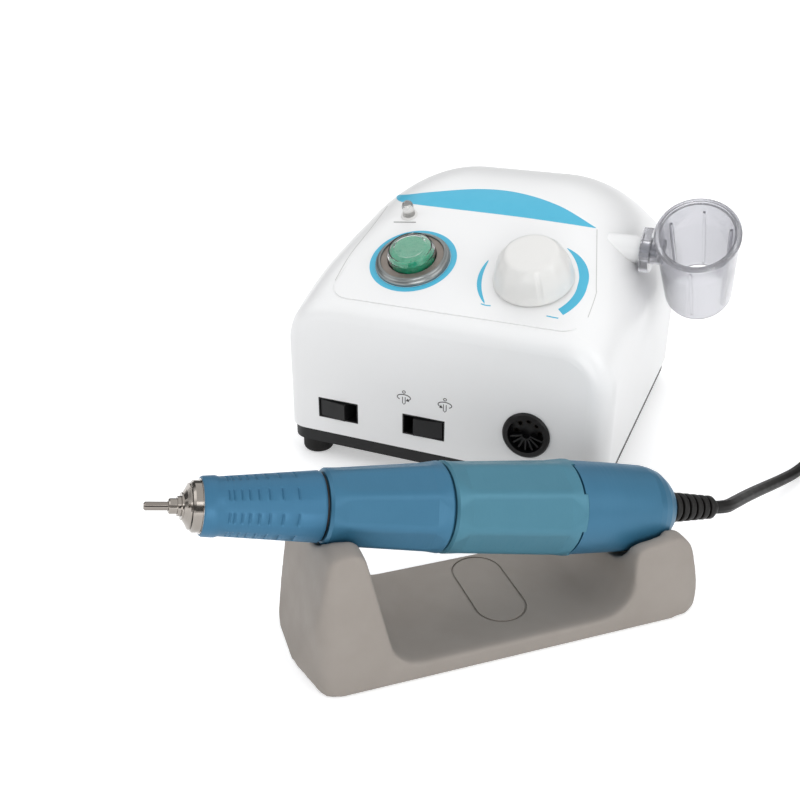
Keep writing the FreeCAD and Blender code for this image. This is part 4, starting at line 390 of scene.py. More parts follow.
# Sintered ferrite and pressed carbon: dark, dry, granular.
ferrite = moulded("sintered_ferrite", "#2E2E30", "#3A3A3C", 2.0, 0.2, 0.02, (0.6, 0.75),
                  IOR=1.6)
carbon = moulded("pressed_carbon", "#1C1C1D", "#2A2A2B", 1.0, 0.15, 0.02, (0.5, 0.65),
                 IOR=1.6)
# Recess of the power switch: a pressed ring of bronzed metal round the cap.
bronzed = moulded("bronzed_pressed_metal", "#8F867F", "#827A73", 2.0, 0.3, 0.006, (0.32, 0.44),
                  Metallic=0.6)
# Gasket of the status lamp: pale grey silicone.
gasket = moulded("pale_silicone_gasket", "#DEDDDB", "#D6D5D3", 2.0, 0.3, 0.01, (0.45, 0.6),
                 IOR=1.42)
print("moulded finishes:", len(bpy.data.materials))

# %% [markdown]
# ## Clear and tinted plastic
# The tool cup, its clip and the cover of the power button are clear polystyrene: light goes
# through and bends, and thick edges look greyer. Transmission does that; a little roughness
# stands for fine wiping scratches. The green cap under the cover is a tinted acrylic that
# glows where light enters it, so it passes a part of the light only.

# %% Clear finish
SCRATCH_DEPTH_MM = 0.0008


def clear(name, tint, scratch_mm, gloss, ior, through):
    """A clear moulded plastic with a faint tint and fine wiping marks."""
    made, tree, place = new_finish(name)
    drawn = add(tree, "ShaderNodeMapping", {"Vector": place, "Scale": (1.0, 1.0, 0.2)})
    marks = add(tree, "ShaderNodeTexNoise", {"Vector": drawn,
                                             "Scale": 1 / (scratch_mm * MM), "Detail": 4.0})
    close_finish(tree, srgb(tint), marks, gloss, marks, SCRATCH_DEPTH_MM,
                 0.5, **{"IOR": ior, "Transmission Weight": through})
    return made


clear_cup = clear("clear_polystyrene", "#D9D9DE", 3.0, (0.12, 0.16), 1.49, 0.80)
clear_cover = clear("clear_acrylic_cover", "#F6F7F7", 2.0, (0.03, 0.06), 1.49, 1.0)
clear_lamp = clear("clear_epoxy_lamp", "#F6F5F3", 1.0, (0.05, 0.10), 1.50, 0.85)
green_cap = clear("tinted_acrylic_green", "#14B082", 2.0, (0.25, 0.35), 1.49, 0.05)
print("clear finishes: 4")

# %% [markdown]
# ## Turned metal
# The handpiece is turned on a lathe, so its marks are fine circles round the axis. The
# pattern is worked out in the handpiece's own frame: a Mapping node moves the object's
# coordinates onto its axis, and noise that changes quickly along the axis and hardly at all
# round it draws the tool marks. Anodising then adds a thin coloured layer that is satin, not
# mirror-like; chrome plating keeps the marks but shines.

# %% Turned finish
DYE_CLOUD_MM = 7.0
BUTTON_CENTRE, KNOB_CENTRE = (-21.3, 30.9), (27.7, 29.5)  # right of the middle, up the panel


def turned(name, matrix, colour, shade, mark_mm, depth_mm, gloss, **constants):
    """A metal finish with fine tool marks round the Z axis of a frame."""
    made, tree, place = new_finish(name)
    inverse = matrix.inverted()
    local = add(tree, "ShaderNodeMapping",
                {"Vector": place, "Location": inverse.translation,
                 "Rotation": inverse.to_euler("XYZ")}, vector_type="POINT")
    parts = add(tree, "ShaderNodeSeparateXYZ", {0: local}).outputs
    flat = add(tree, "ShaderNodeCombineXYZ", {0: parts[0], 1: parts[1]})
    reach = add(tree, "ShaderNodeVectorMath", {0: flat}, operation="LENGTH")
    rings = add(tree, "ShaderNodeCombineXYZ", {0: reach.outputs["Value"], 1: parts[2]})
    marks = add(tree, "ShaderNodeTexNoise", {"Vector": rings,
                                             "Scale": 1 / (mark_mm * MM), "Detail": 2.0})
    clouds = add(tree, "ShaderNodeTexNoise", {"Vector": local,
                                              "Scale": 1 / (DYE_CLOUD_MM * MM),
                                              "Detail": 3.0})
    tint = add(tree, "ShaderNodeMix", {0: clouds, 6: srgb(colour), 7: srgb(shade)},
               data_type="RGBA")
    close_finish(tree, tint.outputs[2], marks, gloss, marks, depth_mm,
                 0.8, **constants)
    return made


def panel_frame(right, up):
    """The frame of a round piece on the panel: Z straight out of it."""
    origin = panel_foot + Vector((1.0, 0.0, 0.0)) * right * MM + panel_up * up * MM
    return frame_matrix(Vector((1.0, 0.0, 0.0)), panel_up, panel_out, origin)


# Anodised aluminium, dyed steel blue: fine matt, half way between paint and metal.
blue_anodised = turned("anodised_aluminium_blue", piece_frame, "#366D8B", "#326885", 0.35,
                       0.003, (0.36, 0.48), Metallic=0.35)
# The motor housing comes from another dye bath, greener.
teal_anodised = turned("anodised_aluminium_teal", piece_frame, "#457B8E", "#407588", 0.35,
                       0.003, (0.36, 0.48), Metallic=0.35)
# The grip sleeve's matt dye is a shade deeper.
deep_anodised = turned("anodised_aluminium_deep_blue", piece_frame, "#366D8D", "#326888",
                       0.35, 0.003, (0.40, 0.52), Metallic=0.4)
# Chrome on turned brass: bright, with the last cut still showing as fine rings.
chrome = turned("chromed_turned_brass", piece_frame, "#A09A94", "#918B84", 0.25, 0.002,
                (0.08, 0.16), Metallic=1.0)
# Ground steel of the bur's shank and of the parts inside.
ground_steel = turned("ground_steel", piece_frame, "#C9C5C1", "#BDB8B4", 0.2, 0.002,
                      (0.16, 0.26), Metallic=1.0)
# The bur's shank is polished brighter, and its colour is painted darker than the ground
# steel's: a painted reflection of a dark room round the lamps.
polished_steel_painted_dark = turned("polished_steel_painted_dark", piece_frame, "#918A84", "#86807A", 0.3, 0.001,
                        (0.06, 0.12), Metallic=1.0)
# The ring of the power button: aluminium turned and left a warm satin grey.
satin_ring = turned("satin_turned_aluminium", panel_frame(*BUTTON_CENTRE), "#8E9292", "#848888",
                    0.3, 0.003, (0.26, 0.36), Metallic=0.9)
print("turned finishes: 7")

# %% [markdown]
# ## Metals of the inner parts
# Nobody sees them until the casing is open, but the unit also holds zinc-plated screws, brass
# contacts, a stack of core sheets and a copper winding. Plating and bare brass are plain
# grained metals; the core shows the edges of its half-millimetre sheets, and the winding shows
# its wire.

# %% Inner metals
zinc = moulded("zinc_plated_steel", "#B9BCC0", "#A9ADB2", 1.5, 0.3, 0.004, (0.28, 0.42),
               Metallic=1.0)
brass = moulded("bare_brass", "#C9A55A", "#B8954E", 1.5, 0.3, 0.004, (0.22, 0.36),
                Metallic=1.0)


def layered(name, colour, shade, layer_mm, gloss, way):
    """Sheets or wire side by side: sharp thin lines across one direction."""
    made, tree, place = new_finish(name)
    lines = add(tree, "ShaderNodeTexWave", {"Vector": place, "Scale": 0.314 / (layer_mm * MM),
                                            "Distortion": 0.3},
                bands_direction=way)
    tint = add(tree, "ShaderNodeMix", {0: lines.outputs[1], 6: srgb(shade), 7: srgb(colour)},
               data_type="RGBA")
    relief = add(tree, "ShaderNodeBump", {"Height": lines.outputs[1],
                                          "Distance": layer_mm * 0.2 * MM, "Strength": 0.8})
    shader = add(tree, "ShaderNodeBsdfPrincipled",
                 {"Base Color": tint.outputs[2], "Roughness": gloss, "Metallic": 0.9,
                  "Normal": relief})
    add(tree, "ShaderNodeOutputMaterial", {"Surface": shader})
    return made


core_sheets = layered("stacked_core_sheets", "#8A8C90", "#55575B", 0.5, 0.4, "Y")
copper_wire = layered("enamelled_copper_wire", "#B4683A", "#7A4022", 0.6, 0.3, "Z")
print("inner metals: 4")

# %% [markdown]
# ## Dressing the CAD nodes
# A node whose shape is right keeps its mesh and only changes its material. The list pairs each
# finish with the pieces that carry it on the real object.

# %% Nodes and their finishes
DRESS = [
    (white_abs, ["upper_casing"]),
    (knob_abs_painted_darker, ["speed_knob"]),
    (black_abs, ["base_tray", "hand_foot_rocker", "direction_rocker", "switch_housings",
                 "brush_holder", "board_components"]),
    (black_nylon, ["socket_bezel", "socket_insulator", "mains_inlet", "fuse_holder",
                   "fuse_cap", "plug_shell", "sleeve_seal"]),
    (foot_rubber, ["rubber_feet"]),
    (bronzed, ["power_switch_body"]),
    (gasket, ["led_holder"]),
    (cord_pvc, ["strain_relief", "cord", "cord_coil"]),
    (silicone, ["cradle"]),
    (laminate, ["circuit_board"]),
    (ferrite, ["magnets"]),
    (carbon, ["carbon_brushes"]),
    (clear_cup, ["holder_cup", "holder_clip"]),
    (clear_cover, ["button_cover"]),
    (clear_lamp, ["status_led"]),
    (green_cap, ["power_button"]),
    (blue_anodised, ["front_sleeve", "twist_ring", "rear_cap"]),
    (teal_anodised, ["motor_housing"]),
    (chrome, ["nose_ring", "chuck_cone", "collet", "plug_collar"]),
    (polished_steel_painted_dark, ["bur"]),
    (ground_steel, ["spindle", "front_bearings", "rear_bearing", "barrel"]),
    (satin_ring, ["power_bezel"]),
    (zinc, ["base_screws", "board_screws", "transformer_screws", "potentiometer",
            "potentiometer_nut", "rocker_pins", "holder_pin", "foot_jack"]),
    (brass, ["potentiometer_shaft", "inlet_pins", "plug_pins"]),
    (core_sheets, ["transformer_core", "armature"]),
    (black_brass, ["socket_contacts"]),
    (copper_wire, ["transformer_winding", "commutator"]),
]
dressed = set()
for finish, names in DRESS:
    for name in names:
        for slot in nodes[name].material_slots:
            slot.material = finish
        dressed.add(name)
print("dressed %d nodes, left plain: %s" % (len(dressed), sorted(set(nodes) - dressed)))

# %% [markdown]
# ## The ribbed cord
# The lead has fine ribs along its jacket. A Geometry Nodes tree sweeps a star-shaped section
# along the spline's own points: the star's corners are the ribs, and smooth shading rounds
# them. The tree's inputs are the cord's radius, the number of ribs and their depth.

# %% Cord tree
def new_tree(name, sockets):
    """An empty geometry tree with named inputs, and its group input and output."""
    made = bpy.data.node_groups.new(name, "GeometryNodeTree")
    made.interface.new_socket("Geometry", in_out="INPUT", socket_type="NodeSocketGeometry")
    for label, kind in sockets:
        made.interface.new_socket(label, in_out="INPUT", socket_type=kind)
    made.interface.new_socket("Geometry", in_out="OUTPUT", socket_type="NodeSocketGeometry")
    return made, add(made, "NodeGroupInput").outputs


def run_tree(made, tree, values):
    """Run a tree on an object with these inputs, and keep the result as a plain mesh."""
    modifier = made.modifiers.new(tree.name, "NODES")
    modifier.node_group = tree
    for item in tree.interface.items_tree:
        if item.item_type == "SOCKET" and item.in_out == "INPUT" and item.name in values:
            modifier[item.identifier] = values[item.name]
    made.update_tag()
    bpy.context.view_layer.update()
    result = made.evaluated_get(bpy.context.evaluated_depsgraph_get())
    mesh = bpy.data.meshes.new_from_object(result)
    made.modifiers.remove(modifier)
    made.data = mesh
    return made


cord_tree, given = new_tree("ribbed_cord", [("Radius", "NodeSocketFloat"),
                                            ("Ribs", "NodeSocketInt"),
                                            ("Rib depth", "NodeSocketFloat"),
                                            ("Jacket", "NodeSocketMaterial")])
line = add(cord_tree, "GeometryNodeMeshToCurve", {0: given["Geometry"]})
valley = calc(cord_tree, "SUBTRACT", given["Radius"], given["Rib depth"])
star = add(cord_tree, "GeometryNodeCurveStar",
           {"Points": given["Ribs"], "Inner Radius": valley,
            "Outer Radius": given["Radius"]})
swept = add(cord_tree, "GeometryNodeCurveToMesh",
            {"Curve": line, "Profile Curve": star, "Fill Caps": True})
real = add(cord_tree, "GeometryNodeRealizeInstances", {0: swept})
coated = add(cord_tree, "GeometryNodeSetMaterial",
             {"Geometry": real, "Material": given["Jacket"]})
add(cord_tree, "NodeGroupOutput", {"Geometry": coated})
print("tree", cord_tree.name, "with", len(cord_tree.nodes), "nodes")

# %% Cord
CORD_RIBS, RIB_DEPTH = 8, 0.55 * MM
cord = bpy.data.objects.new("handpiece_cord", line_mesh)
bpy.context.scene.collection.objects.link(cord)
run_tree(cord, cord_tree, {"Radius": CORD_RADIUS, "Ribs": CORD_RIBS, "Rib depth": RIB_DEPTH,
                           "Jacket": cord_pvc})
cord.data.shade_smooth()
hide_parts("cord", "cord_coil")
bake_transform(cord)
print("cord:", len(cord.data.polygons), "faces")

# %% [markdown]
# ## The strain relief
# Where the cord leaves the cap, a moulded rubber sleeve keeps it from kinking. It is a stack
# of rounded collars that get smaller towards the cord, with gaps so that it can bend. A tree
# sets one rounded collar on each point of a line and shrinks it step by step; the core that
# holds the collars is turned from a short outline.

# %% Lathe
def lathed(name, outline, steps=64):
    """A closed piece turned about Z from (radius, height) points in millimetres."""
    points, faces, rows = [], [], []
    for radius, height in outline:
        if radius < 1e-6:
            rows.append([len(points)] * steps)
            points.append((0.0, 0.0, height * MM))
            continue
        rows.append(list(range(len(points), len(points) + steps)))
        points += [(radius * MM * math.cos(2 * math.pi * k / steps),
                    radius * MM * math.sin(2 * math.pi * k / steps), height * MM)
                   for k in range(steps)]
    for low, high in zip(rows, rows[1:]):
        for k in range(steps):
            corners = [low[k], low[(k + 1) % steps], high[(k + 1) % steps], high[k]]
            faces.append([c for i, c in enumerate(corners) if c not in corners[:i]])
    return mesh_object(name, points, faces, smooth=True)


RELIEF_START, RELIEF_TOP, FIRST_COLLAR = 163.0, 182.7, 166.0
relief = lathed("relief_core", [(0, RELIEF_START), (3.6, RELIEF_START), (3.6, 168.0),
                                (2.75, 179.5), (3.0, 180.5), (3.05, 182.0),
                                (2.6, RELIEF_TOP), (0, RELIEF_TOP)])
print("core:", len(relief.data.vertices), "points")

# %% Collars of the strain relief
collar_tree, given = new_tree("stacked_collars", [("Count", "NodeSocketInt"),
                                                  ("Pitch", "NodeSocketFloat"),
                                                  ("Radius", "NodeSocketFloat"),
                                                  ("Shrink", "NodeSocketFloat"),
                                                  ("Thickness", "NodeSocketFloat"),
                                                  ("Length", "NodeSocketFloat"),
                                                  ("Rounding", "NodeSocketFloat"),
                                                  ("Rubber", "NodeSocketMaterial")])
step_up = add(collar_tree, "ShaderNodeCombineXYZ", {2: given["Pitch"]})
row = add(collar_tree, "GeometryNodeMeshLine",
          {"Count": given["Count"], "Offset": step_up}, mode="OFFSET")
hoop = add(collar_tree, "GeometryNodeCurvePrimitiveCircle",
           {"Resolution": 64, "Radius": given["Radius"]})
bead = add(collar_tree, "GeometryNodeCurvePrimitiveQuadrilateral",
           {"Width": given["Thickness"], "Height": given["Length"]})
soft_bead = add(collar_tree, "GeometryNodeFilletCurve",
                {"Curve": bead, "Radius": given["Rounding"], "Count": 4}, mode="POLY")
torus = add(collar_tree, "GeometryNodeCurveToMesh",
            {"Curve": hoop, "Profile Curve": soft_bead})
place_in_row = add(collar_tree, "GeometryNodeInputIndex")
lost = calc(collar_tree, "MULTIPLY", place_in_row, given["Shrink"])
left = calc(collar_tree, "SUBTRACT", 1.0, lost)
size = add(collar_tree, "ShaderNodeCombineXYZ", {0: left, 1: left, 2: 1.0})
stack = add(collar_tree, "GeometryNodeInstanceOnPoints",
            {"Points": row, "Instance": torus,
             "Scale": size})
real = add(collar_tree, "GeometryNodeRealizeInstances", {0: stack})
coated = add(collar_tree, "GeometryNodeSetMaterial",
             {"Geometry": real, "Material": given["Rubber"]})
smooth = add(collar_tree, "GeometryNodeSetShadeSmooth", {"Geometry": coated})
add(collar_tree, "NodeGroupOutput", {"Geometry": smooth})

collars = mesh_object("relief_collars", [(0, 0, 0)], [])
run_tree(collars, collar_tree, {"Count": 6, "Pitch": 2.85 * MM, "Radius": 4.05 * MM,
                                "Shrink": 0.042, "Thickness": 1.7 * MM, "Length": 2.1 * MM,
                                "Rounding": 0.55 * MM, "Rubber": cord_pvc})
collars.data.transform(piece_frame @ Matrix.Translation((0, 0, FIRST_COLLAR * MM)))
relief.data.transform(piece_frame)
relief.data.materials.append(cord_pvc)
for piece in (relief, collars):
    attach(piece, "handpiece")
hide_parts("strain_relief")
print("collars:", len(collars.data.polygons), "faces")

# %% [markdown]
# ## The grip sleeve
# The sleeve that the fingers hold is turned smooth, and then rows of short grooves are milled
# across it, eight rows round it, closer together towards the tip. A solid modeller shows them
# as full rings. Here the sleeve is a grid of points: so far along the axis, so far round it,
# and the radius at each point is the turned outline less the depth of any groove there. The
# speed knob is made the same way further down.

# %% Carved rounds
def soft_step(value):
    value = min(max(value, 0.0), 1.0)
    return value * value * (3 - 2 * value)


def carved(name, outline, steps, depth_at):
    """A piece turned about Z, with a depth cut off its outside at each point.

    The outline goes once round the section, up its outside, as (radius, height) points in
    millimetres; depth_at gives the cut for a radius, a height and an angle in degrees.
    """
    points, faces, rows = [], [], len(outline)
    for radius, height in outline:
        for k in range(steps):
            degrees = 360.0 * k / steps
            reach = (radius - depth_at(radius, height, degrees)) * MM if radius else 0.0
            points.append((reach * math.cos(math.radians(degrees)),
                           reach * math.sin(math.radians(degrees)), height * MM))
    for r in range(rows):
        after = (r + 1) % rows
        if not outline[r][0] and not outline[after][0]:
            continue
        for k in range(steps):
            faces.append((r * steps + k, r * steps + (k + 1) % steps,
                          after * steps + (k + 1) % steps, after * steps + k))
    made = mesh_object(name, points, faces, smooth=True)
    poles = bmesh.new()
    poles.from_mesh(made.data)
    bmesh.ops.remove_doubles(poles, verts=poles.verts, dist=1e-7)
    poles.to_mesh(made.data)
    poles.free()
    return made


def settle(made, sharp_degrees, place, finish):
    """Keep a piece's real edges sharp, put it in its place and give it its finish."""
    made.data.set_sharp_from_angle(angle=math.radians(sharp_degrees))
    made.data.transform(place)
    made.data.materials.append(finish)


print("soft step at a half:", soft_step(0.5))

# %% Grip sleeve
SLEEVE_OUTLINE = [(7.45, 14.5), (7.75, 14.5), (8.05, 14.9), (8.25, 17.5), (8.25, 18.2),
                  (7.97, 19.2), (9.96, 45.9), (9.99, 46.4), (9.7, 46.9), (7.45, 46.9)]
GROOVES = [21.0, 22.3, 24.3, 26.3, 28.7, 31.5, 35.0, 39.3]
GROOVE_HALF, GROOVE_DEPTH = 0.55, 0.33
ROWS_ROUND, ROW_PHASE, ROW_HALF, ROW_SOFT = 8, 38.0, 12.5, 3.5
SLEEVE_STEPS = 240


def groove_at(radius, height, degrees):
    """How deep the milled grooves are at a point of the sleeve, in millimetres."""
    off = min(abs(height - groove) for groove in GROOVES) / GROOVE_HALF
    turn = 360.0 / ROWS_ROUND
    aside = abs((degrees - ROW_PHASE + turn / 2) % turn - turn / 2)
    return GROOVE_DEPTH * soft_step(1 - off) * soft_step((ROW_HALF - aside) / ROW_SOFT)


stations = []
for (r1, h1), (r2, h2) in zip(SLEEVE_OUTLINE, SLEEVE_OUTLINE[1:]):
    stations.append((r1, h1))
    if h2 - h1 > 5.0:
        inner_heights = sorted({round(groove + GROOVE_HALF * part / 3, 4) for groove in GROOVES
                                for part in range(-3, 4)})
        stations += [(r1 + (r2 - r1) * (h - h1) / (h2 - h1), h) for h in inner_heights]
stations.append(SLEEVE_OUTLINE[-1])
grip = carved("grip_sleeve", stations, SLEEVE_STEPS, groove_at)
settle(grip, 38, piece_frame, deep_anodised)
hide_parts("front_sleeve")
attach(grip, "handpiece")
print("grip sleeve:", len(grip.data.polygons), "faces")

# %% [markdown]
# ## The speed knob and the power button's ring
# The knob is moulded with a flare, twelve wide scoops for the fingers that run out towards the
# foot and the crown, and one narrow groove as its pointer. The ring round the power button is
# turned with a rounded outer edge and a polished lip, which a few points of outline draw.

# %% Speed knob
HOLLOW_TOP, CROWN_RADIUS = 9.6, 9.4
KNOB_OUTLINE = [(3.03, 6.6), (5.0, 6.6), (5.0, HOLLOW_TOP), (10.8, HOLLOW_TOP), (10.8, 0.6),
                (14.8, 0.6), (15.0, 0.8), (14.98, 1.3), (14.75, 1.9), (14.6, 2.6),
                (14.45, 3.4), (14.3, 4.4), (14.1, 5.4), (13.85, 6.4), (13.5, 7.5), (13.1, 8.6),
                (12.6, 9.7), (12.0, 10.7), (11.4, 11.5), (10.9, 12.05), (10.5, 12.45),
                (10.1, 12.8), (9.75, 13.05), (9.4, 13.24), (9.0, 13.38), (8.4, 13.48),
                (7.4, 13.54), (5.0, 13.58), (0, 13.6), (0, 11.7), (3.03, 11.7)]
SCOOPS, SCOOP_DEPTH, SCOOP_LOW, SCOOP_HIGH = 12, 0.28, 1.9, 13.0
FADE_FOOT, FADE_CROWN = 2.5, 1.2  # how far the scoops take to run out, low and high
POINTER_HALF, POINTER_DEPTH, POINTER_EDGE, POINTER_ASIDE = 0.75, 0.40, 1.6, 7.0
knob_frame = panel_frame(*KNOB_CENTRE)
seen_from = knob_frame.inverted() @ CAMERA_PLACE
pointer_at = math.degrees(math.atan2(seen_from.y, seen_from.x)) + POINTER_ASIDE


def scoop_at(radius, height, degrees):
    """How deep the knob's finger scoops and its pointer are at a point of its outside."""
    if height < SCOOP_LOW or radius < CROWN_RADIUS or height == HOLLOW_TOP:
        return 0.0
    fade = (soft_step((height - SCOOP_LOW) / FADE_FOOT)
            * soft_step((SCOOP_HIGH - height) / FADE_CROWN))
    wave = 0.5 + 0.5 * math.cos(math.radians((degrees - pointer_at) * SCOOPS + 180.0))
    aside = abs((degrees - pointer_at + 180.0) % 360.0 - 180.0)
    notch = soft_step(POINTER_EDGE - math.radians(aside) * radius / POINTER_HALF)
    return fade * (SCOOP_DEPTH * wave + POINTER_DEPTH * notch)


knob_skin = carved("smooth_knob", KNOB_OUTLINE, 288, scoop_at)
settle(knob_skin, 50, knob_frame, knob_abs_painted_darker)
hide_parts("speed_knob")
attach(knob_skin, "knob")
print("knob:", len(knob_skin.data.polygons), "faces")

# %% Ring of the power button
RING_OUTLINE = [(12.4, -8.0), (13.3, -8.0), (13.3, 0.05), (14.75, 0.05), (14.8, 0.5),
                (14.68, 0.95), (14.45, 1.35), (14.15, 1.7), (13.85, 1.95), (13.6, 2.08),
                (13.45, 2.2), (13.35, 2.38), (13.2, 2.55), (13.0, 2.66), (12.8, 2.7),
                (12.6, 2.64), (12.47, 2.5), (12.4, 2.3)]
ring_skin = carved("smooth_ring", RING_OUTLINE, 192, lambda radius, height, degrees: 0.0)
settle(ring_skin, 50, panel_frame(*BUTTON_CENTRE), satin_ring)
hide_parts("power_bezel")
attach(ring_skin, "unit")
print("ring:", len(ring_skin.data.polygons), "faces")

# %% [markdown]
# ## The cast cradle
# Silicone comes out of its mould with no sharp edge at all. The cradle's CAD shape is right but
# for its corners, so it is rebuilt as an even skin of small squares (a voxel remesh) and then
# smoothed a little, which rounds every edge by two or three millimetres and leaves flat faces
# flat. The thin oval line pressed into the floor is cut again afterwards.

# %% Cradle with soft edges
VOXEL, SMOOTH_STEPS = 0.8 * MM, 20
cradle_frame = frame_matrix(course, across, Vector((0.0, 0.0, 1.0)),
                            Vector((BUR_TIP.x, BUR_TIP.y, 0.0)))
cast = bpy.data.objects.new("cast_cradle", nodes["cradle"].data.copy())
bpy.context.scene.collection.objects.link(cast)
cast.data.transform(cradle_frame.inverted() @ nodes["cradle"].matrix_world)
skin = cast.modifiers.new("skin", "REMESH")
skin.mode, skin.voxel_size = "VOXEL", VOXEL
soft_edges = cast.modifiers.new("soft_edges", "SMOOTH")
soft_edges.factor, soft_edges.iterations = 0.5, SMOOTH_STEPS

OVAL_MIDDLE, OVAL_ACROSS, OVAL_FLOOR = 102.0, 6.5, 6.0
OVAL_HALF, OVAL_RADIUS, OVAL_LINE, OVAL_DEPTH = 9.0, 8.5, 0.7, 0.6


def oval_loop(radius, height, corners=24):
    """A long oval of points at a height, in the cradle's own frame."""
    loop = []
    for side in (1, -1):
        for k in range(corners + 1):
            angle = math.radians((0 if side > 0 else 180) + 180 * k / corners)
            loop.append(((OVAL_MIDDLE + radius * math.cos(angle)) * MM,
                         (OVAL_ACROSS + side * OVAL_HALF + radius * math.sin(angle)) * MM,
                         height * MM))
    return loop


low, high = OVAL_FLOOR - OVAL_DEPTH, OVAL_FLOOR + 2.0
loops = [oval_loop(OVAL_RADIUS, low), oval_loop(OVAL_RADIUS, high),
         oval_loop(OVAL_RADIUS - OVAL_LINE, high), oval_loop(OVAL_RADIUS - OVAL_LINE, low)]
width = len(loops[0])
cutter = mesh_object("oval_cutter", [point for loop in loops for point in loop],
                     [(r * width + k, r * width + (k + 1) % width,
                       (r + 1) % 4 * width + (k + 1) % width, (r + 1) % 4 * width + k)
                      for r in range(4) for k in range(width)])
face_outward(cutter)
line_cut = cast.modifiers.new("oval_line", "BOOLEAN")
line_cut.operation, line_cut.solver, line_cut.object = "DIFFERENCE", "EXACT", cutter
bpy.context.view_layer.update()
shaped = bpy.data.meshes.new_from_object(
    cast.evaluated_get(bpy.context.evaluated_depsgraph_get()))
cast.modifiers.clear()
cast.data = shaped
bpy.data.objects.remove(cutter)
for vertex in shaped.vertices:
    vertex.co.z = max(vertex.co.z, 0.0)
shaped.transform(cradle_frame)
shaped.shade_smooth()
shaped.set_sharp_from_angle(angle=math.radians(60))
shaped.materials.clear()
shaped.materials.append(silicone)
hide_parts("cradle")
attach(cast, "unit")
print("cradle:", len(shaped.polygons), "faces")

# %% [markdown]
# ## Vanes in the socket
# The plug is guided by thin vanes that stand on the socket's insulator, spread like a fan in
# its lower half.

# %% Socket vanes
SOCKET_X, SOCKET_Z, SOCKET_FACE = 35.8, 29.55, -75.6
VANE_ANGLES = [195, 220, 245, 270, 295, 320, 345]
VANE_INNER, VANE_OUTER, VANE_HALF, VANE_FRONT, VANE_BACK = 1.5, 6.3, 0.32, 0.5, 3.2
points, faces = [], []
for degrees in VANE_ANGLES:
    way = Vector((math.cos(math.radians(degrees)), 0.0, math.sin(math.radians(degrees))))
    aside = Vector((-way.z, 0.0, way.x))
    first = len(points)
    for depth in (VANE_FRONT, VANE_BACK):
        for reach, side in ((VANE_INNER, -1), (VANE_OUTER, -1), (VANE_OUTER, 1),
                            (VANE_INNER, 1)):
            points.append((Vector((SOCKET_X, SOCKET_FACE + depth, SOCKET_Z)) + way * reach
                           + aside * side * VANE_HALF) * MM)
    for face in ((0, 1, 2, 3), (7, 6, 5, 4), (4, 5, 1, 0), (5, 6, 2, 1), (6, 7, 3, 2),
                 (7, 4, 0, 3)):
        faces.append([first + corner for corner in face])
vanes = mesh_object("socket_vanes", points, faces)
face_outward(vanes)
vanes.data.materials.append(black_nylon)
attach(vanes, "unit")
print("vanes:", len(VANE_ANGLES))

# %% [markdown]
# ## The printed marks
# The panel's blue marks are screen-printed: a film of ink a few hundredths of a millimetre
# thick that lies on the plastic and follows its curve. Each mark is drawn flat in the panel's
# own coordinates, in millimetres from the middle and up the slope, and every point is then
# carried from the camera's side onto the casing, so the marks sit where the picture has them
# and lie on the surface from any side. Solidify gives the film its thickness.

# %% Ink on the casing
INK_LIFT, INK_FILM = 0.05 * MM, 0.09 * MM
casing = nodes["upper_casing"]
casing_skin = BVHTree.FromPolygons(
    [casing.matrix_world @ vertex.co for vertex in casing.data.vertices],
    [tuple(face.vertices) for face in casing.data.polygons])


def on_casing(right, up):
    """The casing's surface seen behind a point of the panel's flat drawing."""
    target = panel_foot + Vector((right * MM, 0, 0)) + panel_up * up * MM
    ray_way = (target - CAMERA_PLACE).normalized()
    hit, normal, _, _ = casing_skin.ray_cast(CAMERA_PLACE, ray_way)
    if hit is None:
        hit, normal, _, _ = casing_skin.find_nearest(target)
    return hit + normal * INK_LIFT


def on_front(right, up):
    """The casing's front wall at a place to the right of its middle and above the table."""
    start = Vector((right * MM, -0.2, up * MM))
    hit, normal, _, _ = casing_skin.ray_cast(start, Vector((0, 1, 0)))
    return hit + normal * INK_LIFT


def ink(name, rows, finish, carry=on_casing, closed=False):
    """A film of ink from rows of flat points, carried onto the casing."""
    width = len(rows[0])
    points = [carry(*point) for row in rows for point in row]
    faces = []
    for r in range(len(rows) - 1):
        for c in range(width if closed else width - 1):
            a, b = r * width + c, r * width + (c + 1) % width
            faces.append((a, b, b + width, a + width))
    made = mesh_object(name, points, faces)
    drawn = bmesh.new()
    drawn.from_mesh(made.data)
    bmesh.ops.remove_doubles(drawn, verts=drawn.verts, dist=0.002 * MM)
    outward = panel_out if carry is on_casing else Vector((0, -1, 0))
    drawn.normal_update()
    if sum(face.normal.dot(outward) for face in drawn.faces) < 0:
        bmesh.ops.reverse_faces(drawn, faces=drawn.faces)
    drawn.to_mesh(made.data)
    drawn.free()
    film = made.modifiers.new("film", "SOLIDIFY")
    film.thickness, film.offset = INK_FILM, -1.0
    made.data.materials.append(finish)
    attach(made, "unit")
    return made


def curve_through(points, count):
    """A smooth open line through flat points, as Catmull-Rom pieces."""
    ends = [points[0]] + points + [points[-1]]
    line = []
    for step in range(count):
        place = step / (count - 1) * (len(points) - 1)
        k = min(int(place), len(points) - 2)
        t = place - k
        a, b, c, d = ends[k:k + 4]
        line.append(tuple(0.5 * (2 * b[i] + (c[i] - a[i]) * t
                                 + (2 * a[i] - 5 * b[i] + 4 * c[i] - d[i]) * t * t
                                 + (3 * b[i] - a[i] - 3 * c[i] + d[i]) * t ** 3)
                          for i in (0, 1)))
    return line


print("casing skin ready")

